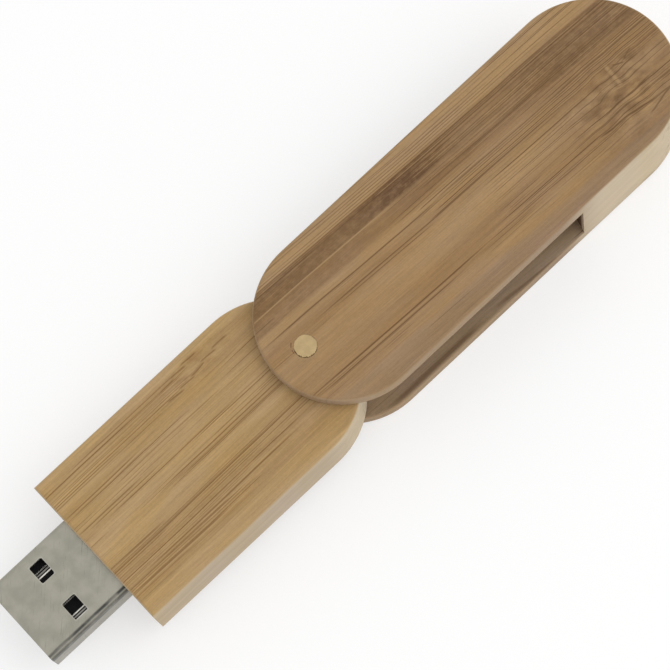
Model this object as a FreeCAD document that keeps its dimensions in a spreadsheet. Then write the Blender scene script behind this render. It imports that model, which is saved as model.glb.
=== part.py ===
import FreeCAD, Part
import math
import os
import Sketcher
from FreeCAD import Vector

# A bamboo swivel flash drive. A slotted oblong cover carries a flat drive body on a wooden dowel.
# The drive swings out of the slot on either side. It is modelled swung fully open.
# Frame, in millimetres: +Z up along the dowel, z = 0 on the cover's underside, the origin on the
# dowel's axis, +X towards the cover's closed far end. The open drive and its plug point to -X.

SIZES = [
    ("cover_width", 22.2, "width of the cover, and of the body that it takes"),
    ("cover_thickness", 13.0, "underside to top of the cover"),
    ("near_overhang", 5.0, "dowel axis to the round near tip, on the cover and on the body"),
    ("far_reach", 59.3, "dowel axis to the cover's far tip"),
    ("cheek_thickness", 2.4, "wood above and below the slot"),
    ("edge_radius", 0.5, "softening of the outer wooden edges"),
    ("slot_edge_radius", 0.25, "softening of the slot's outer edges"),
    ("dowel_diameter", 3.0, "wooden pin that carries the swivel"),
    ("dowel_clearance", 0.06, "radial running clearance of the dowel in the body"),
    ("slot_play", 0.15, "gap between the body and each cheek"),
    ("swing_clearance", 0.3, "gap between the body's square corners and the end of the slot"),
    ("pocket_clearance", 0.35, "gap round the plug in the cover's pocket"),
    ("body_reach", 35.9, "dowel axis to the body's square end"),
    ("cavity_depth", 27.0, "milled cavity, from the square end inwards"),
    ("cavity_side_gap", 0.2, "cavity wall to plug shell, each side"),
    ("cavity_height_gap", 0.15, "cavity wall to plug shell, above and below"),
    ("cavity_corner", 0.75, "corner radius of the cavity"),
    ("plug_width", 12.0, "type A plug, outside the shell"),
    ("plug_height", 4.5, "type A plug, outside the shell"),
    ("plug_exposed", 12.5, "plug standing out of the wood"),
    ("plug_length", 18.75, "whole shell"),
    ("shell_wall", 0.3, "sheet steel"),
    ("shell_corner", 0.6, "outer bend radius of the shell"),
    ("seam_gap", 0.1, "butt seam along the shell's underside"),
    ("lip_radius", 0.08, "softening of the shell's two ends"),
    ("window_length", 2.0, "latch window, along the plug"),
    ("window_width", 2.65, "latch window, across the plug"),
    ("window_corner", 0.25, "corner radius of a latch window"),
    ("window_spacing", 6.2, "centre to centre of the two windows"),
    ("window_setback", 6.4, "plug tip to the windows' centres"),
    ("tab_length", 2.4, "solder tabs behind the shell"),
    ("tab_height", 1.8, "solder tabs behind the shell"),
    ("insulator_fit", 0.03, "gap between the insulator and the shell's sides and roof"),
    ("tongue_height", 1.95, "plastic tongue under the contacts"),
    ("tongue_setback", 0.5, "plug tip to the tongue's nose"),
    ("block_length", 6.2, "solid rear of the insulator"),
    ("block_recess", 0.3, "insulator's rear inside the shell's rear"),
    ("contact_width", 1.0, "each of the four contacts"),
    ("contact_thickness", 0.25, "each of the four contacts"),
    ("contact_setback", 1.0, "tongue's nose to the contacts' noses"),
    ("contact_tail", 1.9, "contact lying on the board"),
    ("inner_contact_offset", 1.0, "centre line to each data contact"),
    ("outer_contact_offset", 3.5, "centre line to each supply contact"),
    ("glue_length", 4.0, "adhesive ring round the shell"),
    ("glue_recess", 0.4, "square end to the adhesive"),
    ("board_length", 19.6, "circuit board"),
    ("board_width", 11.8, "circuit board"),
    ("board_thickness", 0.8, "circuit board"),
    ("board_gap", 0.15, "shell's rear to the board"),
    ("neck_gap", 0.05, "board's neck to each solder tab"),
    ("neck_spare", 0.25, "neck that runs on past the solder tabs"),
    ("controller_side", 7.0, "square controller chip"),
    ("controller_height", 1.4, "controller chip"),
    ("controller_place", 8.2, "board's front edge to the controller's centre"),
    ("lead_pitch", 0.5, "controller leads"),
    ("lead_width", 0.22, "controller leads"),
    ("lead_reach", 1.0, "controller leads, out from the chip"),
    ("lead_thickness", 0.15, "controller leads"),
    ("flash_length", 13.0, "memory chip"),
    ("flash_width", 11.5, "memory chip"),
    ("flash_height", 1.0, "memory chip"),
    ("flash_place", 11.5, "board's front edge to the memory chip's centre"),
    ("crystal_length", 3.2, "crystal in its metal can"),
    ("crystal_width", 2.5, "crystal in its metal can"),
    ("crystal_height", 0.8, "crystal in its metal can"),
    ("crystal_gap", 0.6, "controller's leads to the crystal"),
    ("crystal_side", 3.6, "centre line to the crystal's centre"),
    ("chip_part_length", 1.6, "small surface-mounted parts"),
    ("chip_part_width", 0.8, "small surface-mounted parts"),
    ("capacitor_height", 0.8, "ceramic capacitors"),
    ("resistor_height", 0.45, "chip resistors"),
    ("solder_height", 0.35, "solder fillets"),
    ("solder_length", 0.6, "solder fillet behind each contact"),
]

PLUG_SIGNALS = [
    ("contact_ground", "-Sizes.outer_contact_offset"),
    ("contact_data_plus", "-Sizes.inner_contact_offset"),
    ("contact_data_minus", "Sizes.inner_contact_offset"),
    ("contact_vbus", "Sizes.outer_contact_offset"),
]
LEADS_PER_SIDE = 12
OUTSIDE = "2"       # cutting profiles run this far out of the wood
TOLERANCE = 0.001   # for finding edges by their place

# Sizes worked out from the sheet, as expressions.
HALF_WIDTH = "(Sizes.cover_width / 2)"
MID = "(Sizes.cover_thickness / 2)"
SLOT_HEIGHT = "(Sizes.cover_thickness - 2 * Sizes.cheek_thickness)"
BODY_THICKNESS = f"({SLOT_HEIGHT} - 2 * Sizes.slot_play)"
BODY_BOTTOM = "(Sizes.cheek_thickness + Sizes.slot_play)"
BODY_END = "(-Sizes.body_reach)"
CORNER_SWING = f"sqrt(Sizes.body_reach ^ 2 + {HALF_WIDTH} ^ 2)"
SLOT_RADIUS = f"({CORNER_SWING} + Sizes.swing_clearance)"
PLUG_REACH = "(Sizes.body_reach + Sizes.plug_exposed)"
PLUG_SWING = f"sqrt({PLUG_REACH} ^ 2 + (Sizes.plug_width / 2) ^ 2)"
POCKET_RADIUS = f"({PLUG_SWING} + Sizes.pocket_clearance)"
POCKET_SIDE = "(Sizes.plug_width / 2 + Sizes.pocket_clearance)"
PLUG_TIP = f"(-{PLUG_REACH})"
SHELL_REAR = f"({PLUG_TIP} + Sizes.plug_length)"
SHELL_OUTSIDE = ("Sizes.plug_width", "Sizes.plug_height", "Sizes.shell_corner")
SHELL_INSIDE_WIDTH = "(Sizes.plug_width - 2 * Sizes.shell_wall)"
SHELL_INSIDE_HEIGHT = "(Sizes.plug_height - 2 * Sizes.shell_wall)"
INNER_CORNER = "(Sizes.shell_corner - Sizes.shell_wall)"
SHELL_FLOOR = f"({MID} - {SHELL_INSIDE_HEIGHT} / 2)"
TONGUE_TOP = f"({SHELL_FLOOR} + Sizes.tongue_height)"
TONGUE_NOSE = f"({PLUG_TIP} + Sizes.tongue_setback)"
BLOCK_REAR = f"({SHELL_REAR} - Sizes.block_recess)"
CONTACT_NOSE = f"({TONGUE_NOSE} + Sizes.contact_setback)"
BOARD_TOP = f"({TONGUE_TOP} - Sizes.contact_thickness)"
BOARD_BOTTOM = f"({BOARD_TOP} - Sizes.board_thickness)"
BOARD_FRONT = f"({SHELL_REAR} + Sizes.board_gap)"
CONTACT_REAR = f"({BOARD_FRONT} + Sizes.contact_tail)"
TAB_REAR = f"({SHELL_REAR} + Sizes.tab_length)"
NECK_WIDTH = f"({SHELL_INSIDE_WIDTH} - 2 * Sizes.neck_gap)"
NECK_REAR = f"({TAB_REAR} + Sizes.neck_spare)"
CAVITY_WIDTH = "(Sizes.plug_width + 2 * Sizes.cavity_side_gap)"
CAVITY_HEIGHT = "(Sizes.plug_height + 2 * Sizes.cavity_height_gap)"
CONTROLLER_X = f"({BOARD_FRONT} + Sizes.controller_place)"

doc = FreeCAD.newDocument("SwivelFlashDrive")
sheet = doc.addObject("Spreadsheet::Sheet", "Sizes")
for row, (alias, number, meaning) in enumerate(SIZES, start=1):
    sheet.set(f"A{row}", meaning)
    sheet.set(f"B{row}", str(number))
    sheet.setAlias(f"B{row}", alias)
doc.recompute()

subparts = []


def value(expression):
    """The present value of an expression, in millimetres."""
    return float(sheet.evalExpression(expression))


def register(part, label):
    """Name an object and list it as one of the physical pieces."""
    part.Label = label
    subparts.append(part)
    return part


def new_body(label):
    """A PartDesign body that is one physical piece."""
    return register(doc.addObject("PartDesign::Body", "Body"), label)


def add_sketch(body, name, role, offset="0"):
    """A sketch on one of the body's origin planes, moved out along the plane's normal."""
    sketch = body.newObject("Sketcher::SketchObject", name)
    plane = next(item for item in body.Origin.OriginFeatures if item.Role == role)
    sketch.AttachmentSupport = [(plane, "")]
    sketch.MapMode = "FlatFace"
    sketch.setExpression("AttachmentOffset.Base.z", offset)
    return sketch


def lock(sketch, kind, edge, point, expression):
    """Tie one coordinate of a point to an expression."""
    constraint = Sketcher.Constraint(kind, -1, 1, edge, point, value(expression))
    index = sketch.addConstraint(constraint)
    sketch.setExpression(f"Constraints[{index}]", expression)


def draw_outline(sketch, corners, arc_centres=None):
    """A closed outline, anticlockwise. An arc leaves each corner whose centre is given."""
    arc_centres = arc_centres or {}
    points = [Vector(value(x), value(y), 0) for x, y in corners]
    edges = []
    for index, start in enumerate(points):
        end = points[(index + 1) % len(points)]
        if index in arc_centres:
            centre_x, centre_y = arc_centres[index]
            centre = Vector(value(centre_x), value(centre_y), 0)
            first = math.atan2(start.y - centre.y, start.x - centre.x)
            last = math.atan2(end.y - centre.y, end.x - centre.x)
            if last <= first:
                last += 2 * math.pi
            circle = Part.Circle(centre, Vector(0, 0, 1), (start - centre).Length)
            edges.append(sketch.addGeometry(Part.ArcOfCircle(circle, first, last)))
        else:
            edges.append(sketch.addGeometry(Part.LineSegment(start, end)))
    for index, edge in enumerate(edges):
        following = edges[(index + 1) % len(edges)]
        sketch.addConstraint(Sketcher.Constraint("Coincident", edge, 2, following, 1))
    for edge, (x, y) in zip(edges, corners):
        lock(sketch, "DistanceX", edge, 1, x)
        lock(sketch, "DistanceY", edge, 1, y)
    for index, (centre_x, _) in arc_centres.items():
        lock(sketch, "DistanceX", edges[index], 3, centre_x)


def draw_rectangle(sketch, left, right, low, high):
    """A rectangle between four limits."""
    draw_outline(sketch, [(left, low), (right, low), (right, high), (left, high)])


def draw_rounded_rectangle(sketch, centre_x, centre_y, width, height, radius):
    """A rectangle about a point, with round corners."""
    right, left = f"({centre_x} + {width} / 2)", f"({centre_x} - {width} / 2)"
    low, high = f"({centre_y} - {height} / 2)", f"({centre_y} + {height} / 2)"
    inner_right, inner_left = f"({right} - {radius})", f"({left} + {radius})"
    inner_low, inner_high = f"({low} + {radius})", f"({high} - {radius})"
    corners = [
        (inner_left, low), (inner_right, low),
        (right, inner_low), (right, inner_high),
        (inner_right, high), (inner_left, high),
        (left, inner_high), (left, inner_low),
    ]
    arc_centres = {
        1: (inner_right, inner_low),
        3: (inner_right, inner_high),
        5: (inner_left, inner_high),
        7: (inner_left, inner_low),
    }
    draw_outline(sketch, corners, arc_centres)


def draw_circle(sketch, diameter):
    """A circle about the sketch's origin."""
    circle = Part.Circle(Vector(0, 0, 0), Vector(0, 0, 1), value(diameter) / 2)
    edge = sketch.addGeometry(circle)
    sketch.addConstraint(Sketcher.Constraint("Coincident", edge, 3, -1, 1))
    index = sketch.addConstraint(Sketcher.Constraint("Diameter", edge, value(diameter)))
    sketch.setExpression(f"Constraints[{index}]", diameter)


def pad(body, name, sketch, length, symmetric=False):
    """Add material along the sketch's normal, or half each way."""
    feature = body.newObject("PartDesign::Pad", name)
    feature.Profile = sketch
    feature.SideType = "Symmetric" if symmetric else "One side"
    feature.setExpression("Length", length)
    doc.recompute()
    return feature


def pocket(body, name, sketch, length, symmetric=False, along_normal=False):
    """Remove material against the sketch's normal, along it, or half each way."""
    volume_before = body.Shape.Volume
    feature = body.newObject("PartDesign::Pocket", name)
    feature.Profile = sketch
    feature.SideType = "Symmetric" if symmetric else "One side"
    feature.Reversed = along_normal
    feature.setExpression("Length", length)
    doc.recompute()
    if body.Shape.Volume > volume_before - 1e-6:
        raise RuntimeError(f"{name} removes nothing")
    return feature


def flat_faces(feature, direction):
    """The names of a feature's flat faces that face along a direction, either way."""
    return [
        f"Face{index}"
        for index, face in enumerate(feature.Shape.Faces, start=1)
        if isinstance(face.Surface, Part.Plane) and abs(face.normalAt(0, 0).dot(direction)) > 0.999
    ]


def straight_edges(feature, direction):
    """The names of a feature's straight edges that run along a direction, either way."""
    return [
        f"Edge{index}"
        for index, edge in enumerate(feature.Shape.Edges, start=1)
        if isinstance(edge.Curve, Part.Line) and abs(edge.Curve.Direction.dot(direction)) > 0.999
    ]


def outline_edges(feature, near_centre, far_centre, heights):
    """The names of a feature's level edges that lie on the cover's oblong outline at some heights."""
    names = []
    for index, edge in enumerate(feature.Shape.Edges, start=1):
        middle = edge.valueAt((edge.FirstParameter + edge.LastParameter) / 2)
        nearest_x = min(max(middle.x, near_centre), far_centre)
        off_outline = math.hypot(middle.x - nearest_x, middle.y) - value(HALF_WIDTH)
        is_level = edge.BoundBox.ZLength < TOLERANCE
        at_height = any(abs(middle.z - height) < TOLERANCE for height in heights)
        if is_level and at_height and abs(off_outline) < TOLERANCE:
            names.append(f"Edge{index}")
    return names


def soften(body, name, feature, edges, radius):
    """Round the named edges of a feature, or the edges of its named faces."""
    fillet = body.newObject("PartDesign::Fillet", name)
    fillet.Base = (feature, edges)
    fillet.setExpression("Radius", radius)
    doc.recompute()
    return fillet


def place(part, x, y, z):
    """Tie a part's position to expressions."""
    part.setExpression("Placement.Base.x", x)
    part.setExpression("Placement.Base.y", y)
    part.setExpression("Placement.Base.z", z)


def box(name, centre_x, centre_y, bottom, length, width, height):
    """A block given by its centre line, its underside and its three sizes."""
    block = doc.addObject("Part::Box", name)
    block.setExpression("Length", length)
    block.setExpression("Width", width)
    block.setExpression("Height", height)
    place(block, f"{centre_x} - {length} / 2", f"{centre_y} - {width} / 2", bottom)
    return block


def group(label, solids):
    """Several alike solids as one physical sub-part."""
    compound = doc.addObject("Part::Compound", "Group")
    compound.Links = solids
    return register(compound, label)


def draw_round_end(sketch, near_tip, square_end):
    """A flat bar with a half-round end at near_tip and a square end at square_end."""
    centre = f"({near_tip} - {HALF_WIDTH})"
    low = f"(-{HALF_WIDTH})"
    corners = [(square_end, low), (centre, low), (centre, HALF_WIDTH), (square_end, HALF_WIDTH)]
    draw_outline(sketch, corners, {1: (centre, "0")})


def make_cover():
    """The slotted cover: two cheeks joined by a solid far end with a pocket for the plug."""
    body = new_body("cover")
    near_centre = f"({HALF_WIDTH} - Sizes.near_overhang)"
    far_centre = f"(Sizes.far_reach - {HALF_WIDTH})"
    low = f"(-{HALF_WIDTH})"
    outline = add_sketch(body, "CoverOutline", "XY_Plane")
    corners = [(near_centre, low), (far_centre, low), (far_centre, HALF_WIDTH), (near_centre, HALF_WIDTH)]
    draw_outline(outline, corners, {1: (far_centre, "0"), 3: (near_centre, "0")})
    blank = pad(body, "CoverBlank", outline, "Sizes.cover_thickness")
    edge_radius = "min(Sizes.edge_radius; Sizes.cheek_thickness / 3)"
    soften(body, "CoverEdges", blank, flat_faces(blank, Vector(0, 0, 1)), edge_radius)

    outside_y = f"({HALF_WIDTH} + {OUTSIDE})"
    outside_x = f"(-Sizes.near_overhang - {OUTSIDE})"
    slot_side_x = f"sqrt({SLOT_RADIUS} ^ 2 - {outside_y} ^ 2)"
    slot = add_sketch(body, "SlotOutline", "XY_Plane", MID)
    corners = [
        (outside_x, f"-{outside_y}"), (slot_side_x, f"-{outside_y}"),
        (slot_side_x, outside_y), (outside_x, outside_y),
    ]
    draw_outline(slot, corners, {1: ("0", "0")})
    pocket(body, "Slot", slot, SLOT_HEIGHT, symmetric=True)

    pocket_low_x = f"sqrt({POCKET_RADIUS} ^ 2 - {POCKET_SIDE} ^ 2)"
    pocket_high_x = f"sqrt({POCKET_RADIUS} ^ 2 - {outside_y} ^ 2)"
    inside_slot_x = "(Sizes.body_reach / 2)"
    plug_room = add_sketch(body, "PlugRoomOutline", "XY_Plane", MID)
    corners = [
        (inside_slot_x, f"-{POCKET_SIDE}"), (pocket_low_x, f"-{POCKET_SIDE}"),
        (pocket_high_x, outside_y), (inside_slot_x, outside_y),
    ]
    draw_outline(plug_room, corners, {1: ("0", "0")})
    opened = pocket(body, "PlugRoom", plug_room, SLOT_HEIGHT, symmetric=True)
    heights = [value("Sizes.cheek_thickness"), value("Sizes.cover_thickness - Sizes.cheek_thickness")]
    slot_edges = outline_edges(opened, value(near_centre), value(far_centre), heights)
    slot_edge_radius = "min(Sizes.slot_edge_radius; Sizes.cheek_thickness / 4)"
    soften(body, "SlotEdges", opened, slot_edges, slot_edge_radius)

    bore = add_sketch(body, "DowelHole", "XY_Plane", MID)
    draw_circle(bore, "Sizes.dowel_diameter")
    pocket(body, "DowelHoles", bore, f"Sizes.cover_thickness + {OUTSIDE}", symmetric=True)


def make_dowel():
    """The dowel, glued into both cheeks and sanded flush."""
    dowel = register(doc.addObject("Part::Cylinder", "Dowel"), "swivel_dowel")
    dowel.setExpression("Radius", "Sizes.dowel_diameter / 2")
    dowel.setExpression("Height", "Sizes.cover_thickness")


def make_body_block():
    """The drive's wooden body, bored for the dowel and milled out from its square end."""
    body = new_body("body_block")
    outline = add_sketch(body, "BlockOutline", "XY_Plane", BODY_BOTTOM)
    draw_round_end(outline, "Sizes.near_overhang", BODY_END)
    blank = pad(body, "BlockBlank", outline, BODY_THICKNESS)
    edge_radius = f"min(Sizes.edge_radius; {BODY_THICKNESS} / 4)"
    soften(body, "BlockEdges", blank, flat_faces(blank, Vector(0, 0, 1)), edge_radius)

    bore = add_sketch(body, "PivotBore", "XY_Plane", MID)
    draw_circle(bore, "Sizes.dowel_diameter + 2 * Sizes.dowel_clearance")
    pocket(body, "Pivot", bore, f"Sizes.cover_thickness + {OUTSIDE}", symmetric=True)

    mouth = add_sketch(body, "CavityOutline", "YZ_Plane", BODY_END)
    draw_rounded_rectangle(mouth, "0", MID, CAVITY_WIDTH, CAVITY_HEIGHT, "Sizes.cavity_corner")
    pocket(body, "Cavity", mouth, "Sizes.cavity_depth", along_normal=True)


def make_plug_shell():
    """The folded steel shell, with four latch windows, a seam and two solder tabs."""
    body = new_body("plug_shell")
    outline = add_sketch(body, "ShellOutline", "YZ_Plane", PLUG_TIP)
    draw_rounded_rectangle(outline, "0", MID, *SHELL_OUTSIDE)
    draw_rounded_rectangle(outline, "0", MID, SHELL_INSIDE_WIDTH, SHELL_INSIDE_HEIGHT, INNER_CORNER)
    tube = pad(body, "ShellTube", outline, "Sizes.plug_length")
    lip_radius = "min(Sizes.lip_radius; Sizes.shell_wall / 3)"
    soften(body, "ShellLips", tube, flat_faces(tube, Vector(1, 0, 0)), lip_radius)

    window_x = f"({PLUG_TIP} + Sizes.window_setback)"
    windows = add_sketch(body, "WindowOutlines", "XY_Plane", MID)
    for side in ("-", ""):
        draw_rounded_rectangle(
            windows, window_x, f"({side}Sizes.window_spacing / 2)",
            "Sizes.window_length", "Sizes.window_width", "Sizes.window_corner",
        )
    pocket(body, "Windows", windows, f"Sizes.plug_height + {OUTSIDE}", symmetric=True)

    seam = add_sketch(body, "SeamOutline", "YZ_Plane", PLUG_TIP)
    shell_bottom = f"({MID} - Sizes.plug_height / 2)"
    draw_rectangle(
        seam, "-Sizes.seam_gap / 2", "Sizes.seam_gap / 2",
        f"({shell_bottom} - {OUTSIDE})", f"({SHELL_FLOOR} + Sizes.shell_wall)",
    )
    pocket(body, "Seam", seam, "Sizes.plug_length", along_normal=True)

    tabs = add_sketch(body, "TabOutlines", "YZ_Plane", SHELL_REAR)
    outer, inner = "Sizes.plug_width / 2", f"{SHELL_INSIDE_WIDTH} / 2"
    tab_low, tab_high = f"{MID} - Sizes.tab_height / 2", f"{MID} + Sizes.tab_height / 2"
    draw_rectangle(tabs, inner, outer, tab_low, tab_high)
    draw_rectangle(tabs, f"-{outer}", f"-{inner}", tab_low, tab_high)
    pad(body, "Tabs", tabs, "Sizes.tab_length")


def make_plug_insulator():
    """The moulded insulator: a tongue under the contacts and a solid rear block."""
    body = new_body("plug_insulator")
    profile = add_sketch(body, "InsulatorProfile", "XZ_Plane")
    block_front = f"({BLOCK_REAR} - Sizes.block_length)"
    roof = f"({MID} + {SHELL_INSIDE_HEIGHT} / 2 - Sizes.insulator_fit)"
    corners = [
        (TONGUE_NOSE, SHELL_FLOOR), (BLOCK_REAR, SHELL_FLOOR), (BLOCK_REAR, roof),
        (block_front, roof), (block_front, TONGUE_TOP), (TONGUE_NOSE, TONGUE_TOP),
    ]
    draw_outline(profile, corners)
    width = f"({SHELL_INSIDE_WIDTH} - 2 * Sizes.insulator_fit)"
    moulding = pad(body, "Insulator", profile, width, symmetric=True)
    soften(body, "InsulatorEdges", moulding, straight_edges(moulding, Vector(1, 0, 0)), INNER_CORNER)

    grooves = add_sketch(body, "GrooveOutlines", "YZ_Plane", CONTACT_NOSE)
    for _, centre_y in PLUG_SIGNALS:
        draw_rectangle(
            grooves,
            f"{centre_y} - Sizes.contact_width / 2", f"{centre_y} + Sizes.contact_width / 2",
            BOARD_TOP, TONGUE_TOP,
        )
    pocket(body, "Grooves", grooves, f"{BLOCK_REAR} - {CONTACT_NOSE}", along_normal=True)


def make_contacts():
    """Four flat contacts in the tongue's grooves, and the solder behind each tail."""
    length = f"({CONTACT_REAR} - {CONTACT_NOSE})"
    middle = f"({CONTACT_NOSE} + {CONTACT_REAR}) / 2"
    for label, centre_y in PLUG_SIGNALS:
        strip = box(
            "Contact", middle, centre_y, BOARD_TOP,
            length, "Sizes.contact_width", "Sizes.contact_thickness",
        )
        register(strip, label)
    joints = []
    for _, centre_y in PLUG_SIGNALS:
        joint = doc.addObject("Part::Wedge", "ContactSolder")
        half = "Sizes.contact_width / 2"
        limits = {
            "Xmin": "0", "Xmax": "Sizes.solder_length",
            "X2min": "0", "X2max": "Sizes.solder_length / 3",
            "Ymin": "0", "Ymax": "Sizes.contact_thickness",
            "Zmin": f"-{half}", "Zmax": half, "Z2min": f"-{half}", "Z2max": half,
        }
        for name, expression in limits.items():
            joint.setExpression(name, expression)
        joint.Placement.Rotation = FreeCAD.Rotation(Vector(1, 0, 0), 90)
        place(joint, CONTACT_REAR, centre_y, BOARD_TOP)
        joints.append(joint)
    group("contact_solder", joints)


def make_circuit_board():
    """The board, with a neck between the shell's tabs, and the solder along each tab."""
    body = new_body("circuit_board")
    outline = add_sketch(body, "BoardOutline", "XY_Plane", BOARD_BOTTOM)
    half_neck, half_board = f"({NECK_WIDTH} / 2)", "(Sizes.board_width / 2)"
    board_rear = f"({BOARD_FRONT} + Sizes.board_length)"
    corners = [
        (BOARD_FRONT, f"-{half_neck}"), (NECK_REAR, f"-{half_neck}"), (NECK_REAR, f"-{half_board}"),
        (board_rear, f"-{half_board}"), (board_rear, half_board), (NECK_REAR, half_board),
        (NECK_REAR, half_neck), (BOARD_FRONT, half_neck),
    ]
    draw_outline(outline, corners)
    pad(body, "Board", outline, "Sizes.board_thickness")

    joints = []
    for side in ("-", ""):
        tab_face = f"({side}{SHELL_INSIDE_WIDTH} / 2)"
        inwards = "+" if side else "-"
        joints.append(box(
            "TabSolder", f"({BOARD_FRONT} + {TAB_REAR}) / 2",
            f"({tab_face} {inwards} Sizes.solder_height / 2)", BOARD_TOP,
            f"({TAB_REAR} - {BOARD_FRONT})", "Sizes.solder_height", "Sizes.solder_height",
        ))
    group("shell_solder", joints)


def make_controller():
    """The square controller chip and its leads, twelve a side."""
    side = "Sizes.controller_side"
    chip = box(
        "Controller", CONTROLLER_X, "0", f"{BOARD_TOP} + Sizes.lead_thickness / 2",
        side, side, "Sizes.controller_height",
    )
    register(chip, "controller_chip")
    leads = []
    outwards = f"({side} / 2 + Sizes.lead_reach / 2)"
    for number in range(LEADS_PER_SIDE):
        along = f"({number - (LEADS_PER_SIDE - 1) / 2} * Sizes.lead_pitch)"
        for sign in ("-", "+"):
            leads.append(box(
                "Lead", f"({CONTROLLER_X} {sign} {outwards})", along, BOARD_TOP,
                "Sizes.lead_reach", "Sizes.lead_width", "Sizes.lead_thickness",
            ))
            leads.append(box(
                "Lead", f"({CONTROLLER_X} + {along})", f"(0 {sign} {outwards})", BOARD_TOP,
                "Sizes.lead_width", "Sizes.lead_reach", "Sizes.lead_thickness",
            ))
    group("controller_leads", leads)


def make_board_parts():
    """The memory chip under the board, and the small parts behind the controller."""
    flash = box(
        "Flash", f"({BOARD_FRONT} + Sizes.flash_place)", "0", f"{BOARD_BOTTOM} - Sizes.flash_height",
        "Sizes.flash_length", "Sizes.flash_width", "Sizes.flash_height",
    )
    register(flash, "flash_chip")
    controller_rear = f"({CONTROLLER_X} + Sizes.controller_side / 2 + Sizes.lead_reach)"
    crystal_x = f"({controller_rear} + Sizes.crystal_gap + Sizes.crystal_length / 2)"
    crystal = box(
        "Crystal", crystal_x, "-Sizes.crystal_side", BOARD_TOP,
        "Sizes.crystal_length", "Sizes.crystal_width", "Sizes.crystal_height",
    )
    register(crystal, "crystal")

    def small_parts(name, height, places):
        """Small parts at chosen places: distance behind the controller, and y."""
        return [
            box(
                name, f"({controller_rear} + {behind})", f"({across})", BOARD_TOP,
                "Sizes.chip_part_length", "Sizes.chip_part_width", height,
            )
            for behind, across in places
        ]

    capacitor_places = [(1.4, -1.1), (1.4, 0.2), (1.4, 1.5), (4.4, 4.6)]
    group("ceramic_capacitors", small_parts("Capacitor", "Sizes.capacitor_height", capacitor_places))
    resistor_places = [(4.0, 0.2), (4.0, 1.5), (4.0, 2.9)]
    group("chip_resistors", small_parts("Resistor", "Sizes.resistor_height", resistor_places))
    bead = small_parts("FerriteBead", "Sizes.capacitor_height", [(1.4, 4.6)])[0]
    register(bead, "ferrite_bead")
    light = small_parts("StatusLed", "Sizes.resistor_height", [(1.4, 3.1)])[0]
    register(light, "status_led")


def make_glue_ring():
    """The adhesive that holds the shell in the mouth of the cavity."""
    body = new_body("glue_ring")
    ring = add_sketch(body, "GlueOutline", "YZ_Plane", f"{BODY_END} + Sizes.glue_recess")
    draw_rounded_rectangle(ring, "0", MID, CAVITY_WIDTH, CAVITY_HEIGHT, "Sizes.cavity_corner")
    draw_rounded_rectangle(ring, "0", MID, *SHELL_OUTSIDE)
    pad(body, "Ring", ring, "Sizes.glue_length")


def check_and_export():
    """Stop at any failed object, then write each piece to its own STEP file."""
    doc.recompute()
    for item in doc.Objects:
        if "Invalid" in item.State or "Error" in item.State:
            raise RuntimeError(f"{item.Name} failed: {item.State}")
    for part in subparts:
        if part.Shape.isNull() or not part.Shape.isValid():
            raise RuntimeError(f"{part.Label} has no valid shape")
    os.makedirs("parts", exist_ok=True)
    for part in subparts:
        part.Shape.exportStep(os.path.join("parts", f"{part.Label}.step"))
        print(f"{part.Label}: {len(part.Shape.Solids)} solid(s), {part.Shape.Volume:.2f} mm3")


make_cover()
make_dowel()
make_body_block()
make_plug_shell()
make_plug_insulator()
make_contacts()
make_circuit_board()
make_controller()
make_board_parts()
make_glue_ring()
check_and_export()
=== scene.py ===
"""Looks of a wooden swivel flash drive: bamboo cover and body, dowel pivot, steel plug and board."""

import logging
import math
from dataclasses import dataclass, field
from enum import Enum
from functools import reduce

import bmesh
import bpy
from mathutils import Matrix, Vector


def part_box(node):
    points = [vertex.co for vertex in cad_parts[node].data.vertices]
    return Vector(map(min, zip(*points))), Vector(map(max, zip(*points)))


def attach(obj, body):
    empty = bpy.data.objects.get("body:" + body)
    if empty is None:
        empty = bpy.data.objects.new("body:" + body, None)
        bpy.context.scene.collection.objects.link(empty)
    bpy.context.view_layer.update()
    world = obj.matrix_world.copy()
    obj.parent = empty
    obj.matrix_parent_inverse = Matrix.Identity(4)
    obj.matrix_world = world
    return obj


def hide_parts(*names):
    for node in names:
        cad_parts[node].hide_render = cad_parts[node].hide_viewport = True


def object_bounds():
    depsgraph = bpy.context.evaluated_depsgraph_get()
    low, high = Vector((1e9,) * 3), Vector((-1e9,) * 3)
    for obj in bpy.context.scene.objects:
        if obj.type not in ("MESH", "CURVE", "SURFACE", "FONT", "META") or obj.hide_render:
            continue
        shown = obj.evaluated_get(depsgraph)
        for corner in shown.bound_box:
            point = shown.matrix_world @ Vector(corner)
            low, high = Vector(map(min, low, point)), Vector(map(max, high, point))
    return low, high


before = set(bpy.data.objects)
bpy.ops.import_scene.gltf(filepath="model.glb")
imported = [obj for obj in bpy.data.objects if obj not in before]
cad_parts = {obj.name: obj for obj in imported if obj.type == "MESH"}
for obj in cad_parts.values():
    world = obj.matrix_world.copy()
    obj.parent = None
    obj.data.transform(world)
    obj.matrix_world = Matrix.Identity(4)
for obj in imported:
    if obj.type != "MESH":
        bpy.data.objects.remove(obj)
CAD_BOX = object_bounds()

MM = 0.001
SHARP_DEGREES = 40
CORNER_STEPS = 4
log = logging.getLogger("flash_drive")

Material = bpy.types.Material
Outputs = bpy.types.NodeOutputs
Socket = bpy.types.NodeSocket
Feed = Socket | float | tuple
Colour = tuple[float, float, float]


def paint(colour: Colour) -> tuple[float, float, float, float]:
    """Turn a colour as the eye reads it, 0 to 255 each, into the linear one that a shader takes.

    Args:
        colour: red, green and blue.

    Returns:
        Linear red, green and blue, and an alpha of 1.
    """
    shares = [part / 255 for part in colour]
    linear = [s / 12.92 if s <= 0.04045 else ((s + 0.055) / 1.055) ** 2.4 for s in shares]
    return (*linear, 1.0)


# Laying out shader nodes


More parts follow.
